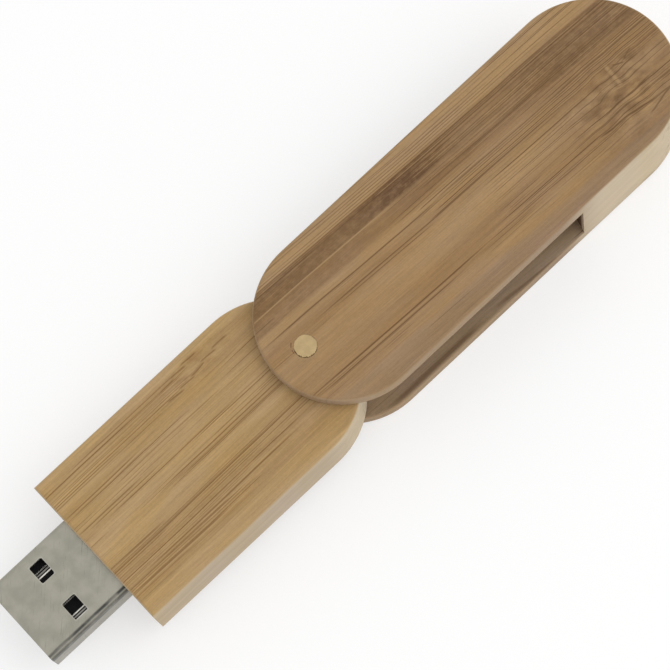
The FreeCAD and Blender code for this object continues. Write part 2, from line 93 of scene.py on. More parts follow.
class Bench:
    """Sets nodes into one node tree and joins them."""

    def __init__(self, tree: bpy.types.NodeTree) -> None:
        """Keep the tree that the nodes go into."""
        self.tree = tree

    def feed(self, socket: Socket, feed: Feed) -> None:
        """Join a socket to another one, or give it a plain value.

        Args:
            socket: the socket that takes it.
            feed: the other socket, or the value.
        """
        if isinstance(feed, Socket):
            self.tree.links.new(feed, socket)
        else:
            socket.default_value = feed

    def node(self, kind: str, feeds: dict[str | int, Feed] | None = None, **settings) -> bpy.types.Node:
        """Add one node.

        Args:
            kind: the node's type name after "ShaderNode".
            feeds: what goes into each input, by the input's name or number.
            settings: the node's own settings.

        Returns:
            The node.
        """
        made = self.tree.nodes.new("ShaderNode" + kind)
        for name, setting in settings.items():
            setattr(made, name, setting)
        for name, feed in (feeds or {}).items():
            self.feed(made.inputs[name], feed)
        return made

    def math(self, operation: str, *feeds: Feed, clamp: bool = False) -> Socket:
        """One step of arithmetic on plain values.

        Args:
            operation: the name of the Math node's operation.
            feeds: its operands.
            clamp: keep the result between 0 and 1.

        Returns:
            The result's socket.
        """
        made = self.node("Math", dict(enumerate(feeds)), operation=operation, use_clamp=clamp)
        return made.outputs[0]

    def total(self, *feeds: Feed) -> Socket:
        """Add up any number of values."""
        return reduce(lambda first, second: self.math("ADD", first, second), feeds)

    def product(self, *feeds: Feed) -> Socket:
        """Multiply any number of values."""
        return reduce(lambda first, second: self.math("MULTIPLY", first, second), feeds)

    def ease(self, feed: Feed, start: Feed, stop: Feed, low: Feed = 0.0, high: Feed = 1.0) -> Socket:
        """Pass smoothly from one value to another as the feed passes from start to stop."""
        feeds = {"Value": feed, "From Min": start, "From Max": stop, "To Min": low, "To Max": high}
        return self.node("MapRange", feeds, interpolation_type="SMOOTHSTEP").outputs["Result"]

    def point(self, x: Feed, y: Feed, z: Feed) -> Socket:
        """A vector from three values."""
        return self.node("CombineXYZ", {"X": x, "Y": y, "Z": z}).outputs[0]

    def parts(self, vector: Socket) -> tuple[Socket, ...]:
        """The three values of a vector."""
        return tuple(self.node("SeparateXYZ", {0: vector}).outputs)

    def noise(self, place: Feed, scale: Feed = 1.0, detail: float = 2.0, roughness: float = 0.5) -> Socket:
        """Smooth noise, from 0 to 1, about 0.5."""
        feeds = {"Vector": place, "Scale": scale, "Detail": detail, "Roughness": roughness}
        return self.node("TexNoise", feeds).outputs[0]

    def chance(self, seed: Feed) -> Socket:
        """A number from 0 to 1 that is the same wherever the seed is the same."""
        return self.node("TexWhiteNoise", {"W": seed}, noise_dimensions="1D").outputs["Value"]

    def blend(self, share: Feed, first: Feed, second: Feed, mode: str = "MIX") -> Socket:
        """Mix two colours."""
        feeds = {0: share, 6: first, 7: second}
        return self.node("Mix", feeds, data_type="RGBA", blend_type=mode, clamp_factor=True).outputs[2]

    def shaded(self, colour: Feed, shade: Feed) -> Socket:
        """Multiply a colour by a value, darker below 1 and lighter above."""
        return self.blend(1.0, colour, self.point(shade, shade, shade), "MULTIPLY")


class Effect:
    """A shader node group that several finishes share."""

    def __init__(self, name: str, inputs: dict[str, float | tuple]) -> None:
        """Make the empty group.

        Args:
            name: the group's name.
            inputs: each input's usual value by its name: a number or a vector of three.
        """
        self.tree = bpy.data.node_groups.new(name, "ShaderNodeTree")
        for label, usual in inputs.items():
            kind = "NodeSocketVector" if isinstance(usual, tuple) else "NodeSocketFloat"
            made = self.tree.interface.new_socket(label, in_out="INPUT", socket_type=kind)
            made.default_value = usual
        self.bench = Bench(self.tree)
        self.given = self.tree.nodes.new("NodeGroupInput").outputs

    def put_out(self, **values: Socket) -> "Effect":
        """Make the group's outputs, all plain values.

        Args:
            values: what each output gives, by its name.

        Returns:
            The effect itself.
        """
        for label in values:
            self.tree.interface.new_socket(label, in_out="OUTPUT", socket_type="NodeSocketFloat")
        ends = self.tree.nodes.new("NodeGroupOutput").inputs
        for label, value in values.items():
            self.bench.feed(ends[label], value)
        return self

    def place(self, bench: Bench, **feeds: Feed) -> Outputs:
        """Set the group into a material.

        Args:
            bench: the material's bench.
            feeds: what goes into each input; an underscore stands for a space.

        Returns:
            The group's outputs.
        """
        placed = bench.tree.nodes.new("ShaderNodeGroup")
        placed.node_tree = self.tree
        for label, feed in feeds.items():
            bench.feed(placed.inputs[label.replace("_", " ")], feed)
        return placed.outputs


# Effects that the finishes share


def make_soft_belt() -> Effect:
    """A mask over a belt along the grain: full inside its width and length, fading at its rims.

    Returns:
        The effect.
    """
    usual = {"Along": 0.0, "Across": 0.0, "Centre": 0.0, "Half Width": 1.0, "Fade": 0.5,
             "Start": -100.0, "Stop": 100.0, "End Fade": 3.0}
    effect = Effect("soft_belt", usual)
    bench, given = effect.bench, effect.given
    off_centre = bench.math("ABSOLUTE", bench.math("SUBTRACT", given["Across"], given["Centre"]))
    rim = bench.math("SUBTRACT", off_centre, given["Half Width"])
    inside = bench.ease(rim, given["Fade"], bench.math("MULTIPLY", given["Fade"], -0.2))
    past_start = bench.math("SUBTRACT", given["Along"], given["Start"])
    before_stop = bench.math("SUBTRACT", given["Stop"], given["Along"])
    ends = bench.ease(bench.math("MINIMUM", past_start, before_stop), 0.0, given["End Fade"])
    return effect.put_out(Mask=bench.product(inside, ends))


def make_stroke() -> Effect:
    """A mask over one short straight mark, turned by an angle and tapering to its ends.

    Returns:
        The effect.
    """
    usual = {"Along": 0.0, "Across": 0.0, "Centre Along": 0.0, "Centre Across": 0.0, "Turn": 0.0,
             "Half Length": 2.0, "Half Width": 0.2}
    effect = Effect("single_stroke", usual)
    bench, given = effect.bench, effect.given
    along = bench.math("SUBTRACT", given["Along"], given["Centre Along"])
    across = bench.math("SUBTRACT", given["Across"], given["Centre Across"])
    cosine, sine = bench.math("COSINE", given["Turn"]), bench.math("SINE", given["Turn"])
    down = bench.total(bench.product(along, cosine), bench.product(across, sine))
    over = bench.math("SUBTRACT", bench.product(across, cosine), bench.product(along, sine))
    share_down = bench.math("ABSOLUTE", bench.math("DIVIDE", down, given["Half Length"]))
    share_over = bench.math("ABSOLUTE", bench.math("DIVIDE", over, given["Half Width"]))
    mask = bench.product(bench.ease(share_down, 1.0, 0.55), bench.ease(share_over, 1.0, 0.2))
    return effect.put_out(Mask=mask)


def make_bamboo_tone() -> Effect:
    """The soft changes of tone in bamboo, from broad bands down to single fibres.

    Returns:
        The effect.
    """
    usual = {"Along": 0.0, "Across": 0.0, "Depth": 0.0, "Seed": 0.0}
    effect = Effect("bamboo_tone", usual)
    bench, given = effect.bench, effect.given

    def scaled(along: float, across: float, depth: float) -> Socket:
        """The place, squeezed by its own amount each way."""
        x = bench.total(bench.product(given["Along"], along), given["Seed"])
        return bench.point(x, bench.product(given["Across"], across), bench.product(given["Depth"], depth))

    return effect.put_out(
        Broad=bench.noise(scaled(0.014, 0.42, 0.3), detail=1.5),
        Streak=bench.noise(scaled(0.05, 2.3, 0.9), detail=4.0, roughness=0.62),
        Fibre=bench.noise(scaled(0.20, 7.0, 5.0), detail=2.0, roughness=0.65),
        Mottle=bench.noise(scaled(0.9, 1.3, 0.8), detail=4.0, roughness=0.65),
        Grit=bench.noise(scaled(3.2, 3.8, 3.5), detail=2.0, roughness=0.6),
    )


def make_bamboo_threads() -> Effect:
    """Dark threads along the grain, one in each narrow lane, off its centre, showing here and there.

    Returns:
        The effect.
    """
    usual = {"Along": 0.0, "Across": 0.0, "Depth": 0.0, "Lane": 0.6, "Length": 20.0, "Thickness": 0.1,
             "Share": 0.4, "Seed": 0.0}
    effect = Effect("bamboo_threads", usual)
    bench, given = effect.bench, effect.given
    lanes = bench.math("DIVIDE", given["Across"], given["Lane"])
    lane = bench.math("FLOOR", lanes)
    in_lane = bench.math("FRACT", lanes)
    seed = bench.total(bench.product(lane, 3.17), given["Seed"])
    centre = bench.math("MULTIPLY_ADD", bench.chance(seed), 0.5, 0.25)
    beside = bench.math("ABSOLUTE", bench.math("SUBTRACT", in_lane, centre))
    off_centre = bench.product(beside, given["Lane"])
    width_share = bench.math("MULTIPLY_ADD", bench.chance(bench.total(seed, 40.7)), 0.8, 0.5)
    width = bench.product(given["Thickness"], width_share)
    line = bench.ease(off_centre, width, bench.product(width, 0.4))
    run = bench.math("DIVIDE", given["Along"], given["Length"])
    where = bench.point(bench.total(run, bench.product(seed, 0.61)), bench.product(lane, 5.3),
                        bench.product(given["Depth"], 0.3))
    showing = bench.noise(where, detail=1.0)
    limit = bench.ease(given["Share"], 0.0, 1.0, 0.75, 0.25)
    shown = bench.ease(showing, limit, bench.total(limit, 0.09))
    strength = bench.math("MULTIPLY_ADD", bench.chance(bench.total(seed, 11.3)), 0.6, 0.4)
    return effect.put_out(Mask=bench.product(line, shown, strength))


def make_knuckle() -> Effect:
    """The knot where a bamboo stem had its joint: the grain wanders and turns patchy round it.

    Returns:
        The effect.
    """
    usual = {"Along": 0.0, "Across": 0.0, "Centre Along": 0.0, "Centre Across": 0.0,
             "Reach Along": 5.0, "Reach Across": 4.0}
    effect = Effect("bamboo_knuckle", usual)
    bench, given = effect.bench, effect.given
    along = bench.math("DIVIDE", bench.math("SUBTRACT", given["Along"], given["Centre Along"]),
                       given["Reach Along"])
    across = bench.math("DIVIDE", bench.math("SUBTRACT", given["Across"], given["Centre Across"]),
                        given["Reach Across"])
    squares = bench.total(bench.product(along, along), bench.product(across, across))
    mask = bench.math("EXPONENT", bench.product(squares, -1.0))
    place = bench.point(bench.product(given["Along"], 0.30), bench.product(given["Across"], 0.42), 3.3)
    wander = bench.product(bench.math("SUBTRACT", bench.noise(place, detail=1.0), 0.5), mask)
    patches = bench.point(bench.product(given["Along"], 0.42), bench.product(given["Across"], 0.75), 8.1)
    patch = bench.product(bench.math("SUBTRACT", bench.noise(patches, detail=3.0), 0.5), mask)
    return effect.put_out(Wander=wander, Patch=patch)


def make_rounded_edge() -> Effect:
    """Where a softened edge turns from a level face to an upright one: uneven wear, with a painted
    highlight along the edge.

    Returns:
        The effect.
    """
    usual = {"Normal": (0.0, 0.0, 1.0), "Place": (0.0, 0.0, 0.0), "Grain": 1.0}
    effect = Effect("rounded_edge_wear_and_highlight", usual)
    bench, given = effect.bench, effect.given
    _, _, up = bench.parts(given["Normal"])
    level = bench.product(up, up)
    turning = bench.product(level, bench.math("SUBTRACT", 1.0, level), 4.0)
    noise = bench.noise(given["Place"], given["Grain"], detail=3.0)
    return effect.put_out(Wear=bench.product(turning, bench.ease(noise, 0.35, 0.65)),
                          Upright=bench.math("SUBTRACT", 1.0, level))


def make_metal_skin() -> Effect:
    """Plated or tinned metal: soft blotches and fine handling scratches.

    Returns:
        The effect.
    """
    usual = {"Place": (0.0, 0.0, 0.0), "Blotch Scale": 0.5, "Scratch Scale": 3.0}
    effect = Effect("metal_skin", usual)
    bench, given = effect.bench, effect.given
    blotch = bench.noise(given["Place"], given["Blotch Scale"], detail=3.0)
    x, y, z = bench.parts(given["Place"])
    down, over = bench.total(x, y), bench.math("SUBTRACT", x, y)
    slanted = bench.point(bench.product(down, 0.12), bench.product(over, 2.6), bench.product(z, 1.3))
    scratch = bench.noise(slanted, given["Scratch Scale"], detail=2.0, roughness=0.7)
    return effect.put_out(Blotch=blotch, Scratch=bench.ease(scratch, 0.60, 0.72),
                          Grit=bench.noise(given["Place"], 14.0, detail=2.0))


def make_moulded_skin() -> Effect:
    """Moulded plastic or epoxy: a fine sparked texture and faint flow marks.

    Returns:
        The effect.
    """
    usual = {"Place": (0.0, 0.0, 0.0), "Spark Scale": 12.0, "Flow Scale": 0.8}
    effect = Effect("moulded_skin", usual)
    bench, given = effect.bench, effect.given
    spark = bench.noise(given["Place"], given["Spark Scale"], detail=3.0, roughness=0.7)
    flow = bench.noise(given["Place"], given["Flow Scale"], detail=1.0)
    return effect.put_out(Spark=spark, Flow=flow)


@dataclass
class Effects:
    """Every shared effect, each built once."""

    belt: Effect = field(default_factory=make_soft_belt)
    stroke: Effect = field(default_factory=make_stroke)
    tone: Effect = field(default_factory=make_bamboo_tone)
    threads: Effect = field(default_factory=make_bamboo_threads)
    knuckle: Effect = field(default_factory=make_knuckle)
    edge: Effect = field(default_factory=make_rounded_edge)
    metal: Effect = field(default_factory=make_metal_skin)
    moulded: Effect = field(default_factory=make_moulded_skin)


# Finishes


class MaterialBench(Bench):
    """A bench for one material, with its surface shader and the place on the object in millimetres."""

    def __init__(self, name: str) -> None:
        """Make the material and clear it down to a shader and an output.

        Args:
            name: the material's name.
        """
        self.material = bpy.data.materials.new(name)
        self.material.use_nodes = True
        super().__init__(self.material.node_tree)
        self.tree.nodes.clear()
        self.shader = self.node("BsdfPrincipled")
        output = self.node("OutputMaterial")
        self.tree.links.new(self.shader.outputs[0], output.inputs["Surface"])
        coordinates = self.node("TexCoord")
        self.normal = coordinates.outputs["Normal"]
        scaled = self.node("VectorMath", {0: coordinates.outputs["Object"], 1: (1 / MM, 1 / MM, 1 / MM)},
                           operation="MULTIPLY")
        self.place = scaled.outputs[0]

    def surface(self, **feeds: Feed) -> None:
        """Feed the surface shader; an underscore stands for a space."""
        for label, feed in feeds.items():
            self.feed(self.shader.inputs[label.replace("_", " ")], feed)

    def relief(self, height: Feed, depth: float, strength: float = 1.0) -> None:
        """Raise and sink the surface.

        Args:
            height: from 0, low, to 1, high.
            depth: what a height of 1 is worth, in millimetres.
            strength: how much of it shows.
        """
        bump = self.node("Bump", {"Strength": strength, "Distance": depth * MM, "Height": height})
        self.surface(Normal=bump.outputs[0])


@dataclass(frozen=True)
class Finish:
    """What a piece's surface is like; each kind lays out its own nodes."""

    name: str

    def lay(self, bench: MaterialBench, effects: Effects) -> None:
        """Lay out the finish's nodes; each kind has its own way."""
        raise NotImplementedError

    def make(self, effects: Effects) -> Material:
        """Build the material.

        Args:
            effects: the shared effects.

        Returns:
            The material.
        """
        bench = MaterialBench(self.name)
        self.lay(bench, effects)
        return bench.material


@dataclass(frozen=True)
class Belt:
    """A stretch of grain along X, in millimetres, and how much it is of what it stands for."""

    centre: float
    half_width: float
    start: float
    stop: float
    amount: float
    fade: float = 0.7
    end_fade: float = 11.0


@dataclass(frozen=True)
class Stroke:
    """One mark in the grain or a patch of painted shade, in millimetres and degrees, darker below 0 and
    lighter above.
    """

    along: float
    across: float
    half_length: float
    half_width: float
    shade: float
    turn: float = 0.0


@dataclass(frozen=True)
class Knuckle:
    """Where a stem joint shows, in millimetres."""

    along: float
    across: float
    reach_along: float
    reach_across: float
    wander: float


@dataclass(frozen=True)
class ThreadLayer:
    """A layer of threads, in millimetres; more of its lanes show one than the wood's own share."""

    lane: float
    length: float
    thickness: float
    more: float


FINE_THREADS = ThreadLayer(lane=0.33, length=17.0, thickness=0.070, more=0.06)
BOLD_THREADS = ThreadLayer(lane=0.71, length=34.0, thickness=0.09, more=0.04)
LIGHT_THREADS = ThreadLayer(lane=0.47, length=11.0, thickness=0.08, more=0.04)
GRAIN_WEIGHTS = {"Streak": 0.38, "Fibre": 0.54, "Grit": 0.24}
WARMTH = ((0.985, 1.01), (0.92, 1.08))
PATCH_WEIGHT = 3.2
LIGHT_THREAD_WEIGHT = 0.65
LINE_WEIGHT = 0.82


@dataclass(frozen=True)
class Outline:
    """The wood's outline seen from above, in millimetres: two half rounds and what joins them."""

    near_centre: float
    far_centre: float
    radius: float

    def outward(self, bench: Bench, x: Feed, y: Feed) -> Socket:
        """How far out from the middle line a place is, the radius at the outline itself.

        Args:
            bench: the material's bench.
            x: the place along the wood.
            y: the place across it.

        Returns:
            The distance's socket.
        """
        beside = bench.math("MINIMUM", bench.math("MAXIMUM", x, self.near_centre), self.far_centre)
        past = bench.math("SUBTRACT", x, beside)
        return bench.math("SQRT", bench.total(bench.product(past, past), bench.product(y, y)))


@dataclass(frozen=True)
class SideWood:
    """The colours of upright faces: outside near one end, outside past a place along X, and inside."""

    near: Colour
    far: Colour
    inside: Colour
    turns_at: float


@dataclass(frozen=True)
class Bamboo(Finish):
    """Sanded bamboo, cut with its threads along X.

    The marks are where this one piece of wood has them on its upper face. Deeper in, and on the underside,
    only the general grain goes on, with streaks on the slot's floor and painted shade in the slot and the
    dowel's hole; the rounded edges everywhere get a painted highlight with their wear.
    """

    seed: float
    pale: Colour
    middle: Colour
    dark: Colour
    thread: Colour
    outline: Outline
    side: SideWood
    lean: float
    thread_share: float
    marks_above: float
    thread_belts: tuple[Belt, ...]
    shade_belts: tuple[Belt, ...]
    strokes: tuple[Stroke, ...]
    knuckles: tuple[Knuckle, ...]
    dull: Colour | None = None
    dull_belts: tuple[Belt, ...] = ()
    # Painted shade on the level faces inside the slot: its colour, and the two levels that the slot lies
    # between.
    slot_shade: Colour | None = None
    slot_levels: tuple[float, float] = (0.0, 0.0)
    floor_strokes: tuple[Stroke, ...] = ()

    def belt_total(self, bench: Bench, effects: Effects, belts: tuple[Belt, ...], along: Feed,
                   across: Feed) -> Socket:
        """The sum of several belts, each by its amount.

        Args:
            bench: the material's bench.
            effects: the shared effects.
            belts: the belts.
            along: the place along the grain.
            across: the place across it.

        Returns:
            The sum's socket.
        """
        running: Feed = 0.0
        for belt in belts:
            mask = effects.belt.place(bench, Along=along, Across=across, Centre=belt.centre,
                                      Half_Width=belt.half_width, Fade=belt.fade, Start=belt.start,
                                      Stop=belt.stop, End_Fade=belt.end_fade)["Mask"]
            running = bench.math("MULTIPLY_ADD", mask, belt.amount, running)
        return running

    def stroke_masks(self, bench: Bench, effects: Effects, strokes: tuple[Stroke, ...], along: Feed,
                     across: Feed) -> tuple[Feed, Feed]:
        """The dark marks and the light marks among some strokes.

        Args:
            bench: the material's bench.
            effects: the shared effects.
            strokes: the strokes.
            along: the place along the grain.
            across: the place across it.

        Returns:
            The dark marks' mask and the light ones'.
        """
        dark: Feed = 0.0
        light: Feed = 0.0
        for stroke in strokes:
            mask = effects.stroke.place(bench, Along=along, Across=across, Centre_Along=stroke.along,
                                        Centre_Across=stroke.across, Turn=math.radians(stroke.turn),
                                        Half_Length=stroke.half_length,
                                        Half_Width=stroke.half_width)["Mask"]
            if stroke.shade < 0:
                dark = bench.math("MAXIMUM", bench.product(mask, -stroke.shade), dark)
            else:
                light = bench.math("MAXIMUM", bench.product(mask, stroke.shade), light)
        return dark, light

    def side_colour(self, bench: Bench, x: Feed, outward: Feed, tone: Outputs) -> Socket:
        """The colour of upright faces, with faint level streaks.

        Args:
            bench: the material's bench.
            x: the place along the wood.
            outward: how far out from the wood's middle line it is.
            tone: the grain's tone.

        Returns:
            The colour's socket.
        """
        far = bench.ease(x, self.side.turns_at - 3.0, self.side.turns_at + 5.0)
        outside = bench.blend(far, paint(self.side.near), paint(self.side.far))
        # Towards the middle line the inside colour takes over; on the cover that is darker end grain with
        # painted shade, in the slot and the dowel's hole.
        skin = bench.ease(outward, self.outline.radius - 0.9, self.outline.radius - 0.3)
        side = bench.blend(skin, paint(self.side.inside), outside)
        mixed = bench.total(tone["Streak"], bench.product(tone["Broad"], 0.5))
        shade = bench.ease(mixed, 0.45, 1.05, 0.90, 1.06)
        return bench.shaded(side, shade)

    def lay(self, bench: MaterialBench, effects: Effects) -> None:
        """Lay out the finish's nodes.

        Args:
            bench: the material's bench.
            effects: the shared effects.
        """
        x, y, z = bench.parts(bench.place)
        outward = self.outline.outward(bench, x, y)
        straight = bench.math("MULTIPLY_ADD", x, -self.lean, y)
        stretched = bench.point(bench.product(x, 0.03), bench.product(y, 0.12), bench.product(z, 0.12))
        slow = bench.math("SUBTRACT", bench.noise(stretched), 0.5)
        across = bench.math("MULTIPLY_ADD", slow, 0.9, straight)
        on_top = bench.ease(z, self.marks_above, self.marks_above + 1.0)
        patch: Feed = 0.0
        for knuckle in self.knuckles:
            knot = effects.knuckle.place(bench, Along=x, Across=straight, Centre_Along=knuckle.along,
                                         Centre_Across=knuckle.across, Reach_Along=knuckle.reach_along,
                                         Reach_Across=knuckle.reach_across)
            wander = bench.product(knot["Wander"], on_top)
            across = bench.math("MULTIPLY_ADD", wander, knuckle.wander, across)
            patch = bench.total(bench.product(knot["Patch"], on_top), patch)
        tone = effects.tone.place(bench, Along=x, Across=across, Depth=z, Seed=self.seed)
        edge = effects.edge.place(bench, Normal=bench.normal, Place=bench.place, Grain=0.7)
        upright = edge["Upright"]

        wood = bench.blend(bench.ease(tone["Broad"], 0.3, 0.7), paint(self.middle), paint(self.pale))
        belts = self.belt_total(bench, effects, self.shade_belts, x, straight)
        mottle = bench.ease(tone["Mottle"], 0.3, 0.65, 0.6, 1.0)
        shade = bench.product(bench.math("MAXIMUM", belts, 0.0), mottle)
        patched = bench.math("ADD", shade, bench.product(patch, PATCH_WEIGHT), clamp=True)
        wood = bench.blend(patched, wood, paint(self.dark))
        wood = bench.blend(bench.math("MAXIMUM", bench.product(belts, -1.0), 0.0), wood, paint(self.pale))
        if self.dull:
            dulled = bench.product(self.belt_total(bench, effects, self.dull_belts, x, straight), on_top)
            wood = bench.blend(dulled, wood, paint(self.dull))
        wood = bench.blend(bench.ease(upright, 0.25, 0.95), wood, self.side_colour(bench, x, outward, tone))
        # Painted shade: the level faces inside the slot, between its two levels, are mixed towards the
        # greyer colour of the shade there.
        if self.slot_shade:
            low, high = self.slot_levels
            between = bench.product(bench.ease(z, low - 0.3, low), bench.ease(z, high + 0.3, high))
            slot_shade_share = bench.product(between, bench.ease(upright, 0.9, 0.3), 0.6)
            wood = bench.blend(slot_shade_share, wood, paint(self.slot_shade))
        drifting = bench.point(bench.product(x, 0.10), bench.product(across, 0.35), self.seed)
        drift = bench.noise(drifting, detail=2.0)
        green, blue = (bench.ease(drift, 0.3, 0.7, low, high) for low, high in WARMTH)
        wood = bench.blend(1.0, wood, bench.point(1.0, green, blue), "MULTIPLY")
        parts = [bench.product(bench.math("SUBTRACT", tone[part], 0.5), weight)
                 for part, weight in GRAIN_WEIGHTS.items()]
        grain = bench.total(*parts, 1.0)
        grain = bench.ease(upright, 0.0, 1.0, grain, 1.0)
        wood = bench.shaded(wood, grain)

        crowd = self.belt_total(bench, effects, self.thread_belts, x, straight)
        share = bench.math("ADD", bench.product(crowd, on_top), self.thread_share)
        fine, bold, light = (
            effects.threads.place(bench, Along=x, Across=across, Depth=z, Lane=layer.lane,
                                  Length=layer.length, Thickness=layer.thickness,
                                  Share=bench.math("ADD", share, layer.more),
                                  Seed=self.seed + 71.0 * layer.lane)["Mask"]
            for layer in (FINE_THREADS, BOLD_THREADS, LIGHT_THREADS))
        level_only = bench.ease(upright, 0.1, 0.7, 1.0, 0.25)
        threads = bench.product(bench.math("MAXIMUM", fine, bold), level_only)
        dark_marks_and_gap_shade, light_marks = self.stroke_masks(bench, effects, self.strokes, x, across)
        top_only = bench.product(on_top, bench.ease(upright, 0.5, 0.2))
        dark_marks_and_gap_shade = bench.product(dark_marks_and_gap_shade, top_only)
        light_marks = bench.product(light_marks, top_only)
        if self.floor_strokes:
            floor = self.slot_levels[0]
            on_floor = bench.product(bench.ease(z, floor + 0.5, floor + 0.1), level_only)
            floor_marks, _ = self.stroke_masks(bench, effects, self.floor_strokes, x, across)
            dark_marks_and_gap_shade = bench.math("MAXIMUM", dark_marks_and_gap_shade, bench.product(floor_marks, on_floor))
        lights = bench.math("MAXIMUM", bench.product(light, level_only, LIGHT_THREAD_WEIGHT),
                            light_marks)
        wood = bench.blend(lights, wood, paint(self.pale))
        lines = bench.math("MAXIMUM", threads, dark_marks_and_gap_shade)
        wood = bench.blend(bench.product(lines, LINE_WEIGHT), wood, paint(self.thread))
        # Rounded edges go paler: partly wear, partly a painted highlight along them.
        wood = bench.blend(bench.product(edge["Wear"], 0.2), wood, paint(self.pale))

        bench.surface(Base_Color=wood, Specular_IOR_Level=0.2)
        rough = bench.total(bench.product(tone["Fibre"], 0.25), bench.product(lines, 0.15), 0.5)
        bench.surface(Roughness=rough)
        height = bench.math("SUBTRACT", bench.product(tone["Fibre"], 0.5), bench.product(lines, 0.5))
        bench.relief(height, 0.03, 0.5)


@dataclass(frozen=True)
class EndGrain(Finish):
    """The sanded end of a turned dowel: pale wood with pores, torn a little round its rim."""

    centre: tuple[float, float]
    radius: float
    wood: Colour
    pore: Colour
    rim: Colour
    rim_from: float = 0.02
    rim_to: float = 0.20
    raggedness: float = 0.36
    rim_share: float = 0.9
    pore_share: float = 0.35

    def lay(self, bench: MaterialBench, effects: Effects) -> None:
        """Lay out the finish's nodes.

        Args:
            bench: the material's bench.
            effects: the shared effects.
        """
        x, y, z = bench.parts(bench.place)
        out_x = bench.math("SUBTRACT", x, self.centre[0])
        out_y = bench.math("SUBTRACT", y, self.centre[1])
        out = bench.math("SQRT", bench.total(bench.product(out_x, out_x), bench.product(out_y, out_y)))
        spread = bench.point(out_x, out_y, bench.product(z, 0.08))
        ragged = bench.noise(spread, 2.6, detail=3.0)
        uneven = bench.total(out, bench.product(ragged, self.raggedness))
        torn = bench.ease(uneven, self.radius + self.rim_from, self.radius + self.rim_to)
        pores = bench.ease(bench.noise(spread, 9.0, detail=2.0, roughness=0.7), 0.62, 0.78)
        patch = bench.noise(spread, 1.1, detail=3.0)
        tint = bench.ease(patch, 0.3, 0.7, 0.92, 1.06)
        wood = bench.shaded(paint(self.wood), tint)
        wood = bench.blend(bench.product(pores, self.pore_share), wood, paint(self.pore))
        wood = bench.blend(bench.product(torn, self.rim_share), wood, paint(self.rim))
        fuzz = effects.moulded.place(bench, Place=bench.place, Spark_Scale=6.0, Flow_Scale=1.2)["Spark"]
        bench.surface(Base_Color=wood, Specular_IOR_Level=0.3,
                      Roughness=bench.math("MULTIPLY_ADD", fuzz, 0.3, 0.5))
        bench.relief(bench.math("SUBTRACT", fuzz, pores), 0.02, 0.5)


@dataclass(frozen=True)
class PlatedSteel(Finish):
    """Nickel plating over folded steel sheet, with a painted dark reflection where it is bent and a painted
    highlight round its windows.

    The painted reflections along the fold and the crease beside it each have how far in from the side they
    lie, half their width and how far they fade.
    """

    # Nickel's own colour, darkened to stand for the dim surroundings that it reflects: painted reflection.
    metal: Colour
    # A dark colour for the scratches, and for the painted reflection along the bent side.
    scratch_and_reflection: Colour
    # The colour of the painted highlight round the windows.
    rim: Colour
    half_width: float
    height_centre: float
    window_along: float
    window_across: float
    window_half_length: float = 1.0
    window_half_width: float = 1.325
    fold: tuple[float, float, float] = (0.5, 0.10, 0.22)
    crease: tuple[float, float, float] = (0.06, 0.08, 0.16)

    def window_rim_highlights(self, bench: Bench, x: Feed, y: Feed) -> Socket:
        """A painted highlight on a thin rim round the two punched windows.

        Args:
            bench: the material's bench.
            x: the place along the plug.
            y: the place across it.

        Returns:
            The highlights' mask.
        """
        along = bench.math("ABSOLUTE", bench.math("SUBTRACT", x, self.window_along))
        across = bench.math("SUBTRACT", bench.math("ABSOLUTE", y), self.window_across)
        past_end = bench.math("SUBTRACT", along, self.window_half_length)
        past_side = bench.math("SUBTRACT", bench.math("ABSOLUTE", across), self.window_half_width)
        return bench.ease(bench.math("MAXIMUM", past_end, past_side), 0.16, 0.03)

    def lay(self, bench: MaterialBench, effects: Effects) -> None:
        """Lay out the finish's nodes.

        Args:
            bench: the material's bench.
            effects: the shared effects.
        """
        x, y, z = bench.parts(bench.place)
        skin = effects.metal.place(bench, Place=bench.place, Blotch_Scale=0.55, Scratch_Scale=1.4)
        tint = bench.ease(skin["Blotch"], 0.3, 0.7, 0.90, 1.08)
        metal = bench.shaded(paint(self.metal), tint)
        metal = bench.blend(bench.product(skin["Scratch"], 0.25), metal, paint(self.scratch_and_reflection))
        upper = bench.ease(z, self.height_centre + 0.8, self.height_centre + 1.2)
        # Painted dark reflection along the bent side, at the fold and the crease beside it, on the upper
        # half only; the metal there is also made less metallic.
        fold, crease = (
            effects.belt.place(bench, Along=x, Across=y, Centre=inset - self.half_width,
                               Half_Width=half_width, Fade=fade)["Mask"]
            for inset, half_width, fade in (self.fold, self.crease))
        uneven = bench.ease(bench.noise(bench.point(bench.product(x, 0.5), y, z), 1.0), 0.3, 0.6, 0.6, 1.0)
        fold_reflections = bench.product(bench.math("MAXIMUM", fold, bench.product(crease, 0.7)), upper, uneven)
        metal = bench.blend(fold_reflections, metal, paint(self.scratch_and_reflection))
        # Painted highlight round the windows, on the upper half only.
        rims = bench.product(self.window_rim_highlights(bench, x, y), upper, 0.22)
        metal = bench.blend(rims, metal, paint(self.rim))
        bench.surface(Base_Color=metal, Metallic=bench.math("MULTIPLY_ADD", fold_reflections, -0.25, 0.95))
        rough = bench.total(bench.product(skin["Grit"], 0.12), bench.product(skin["Scratch"], 0.12),
                            bench.product(fold_reflections, 0.15), 0.28)
        bench.surface(Roughness=rough)
        height = bench.total(bench.product(skin["Grit"], 0.5), bench.product(skin["Scratch"], -0.5))
        bench.relief(height, 0.004, 0.4)


class MetalLook(Enum):
    """How a small metal piece looks: its own colour, its worn colour and its roughness."""

    SOLDER = ((186, 188, 190), (150, 152, 155), 0.30)
    TIN = ((196, 197, 198), (160, 161, 164), 0.26)
    CAN = ((190, 190, 186), (158, 158, 156), 0.20)


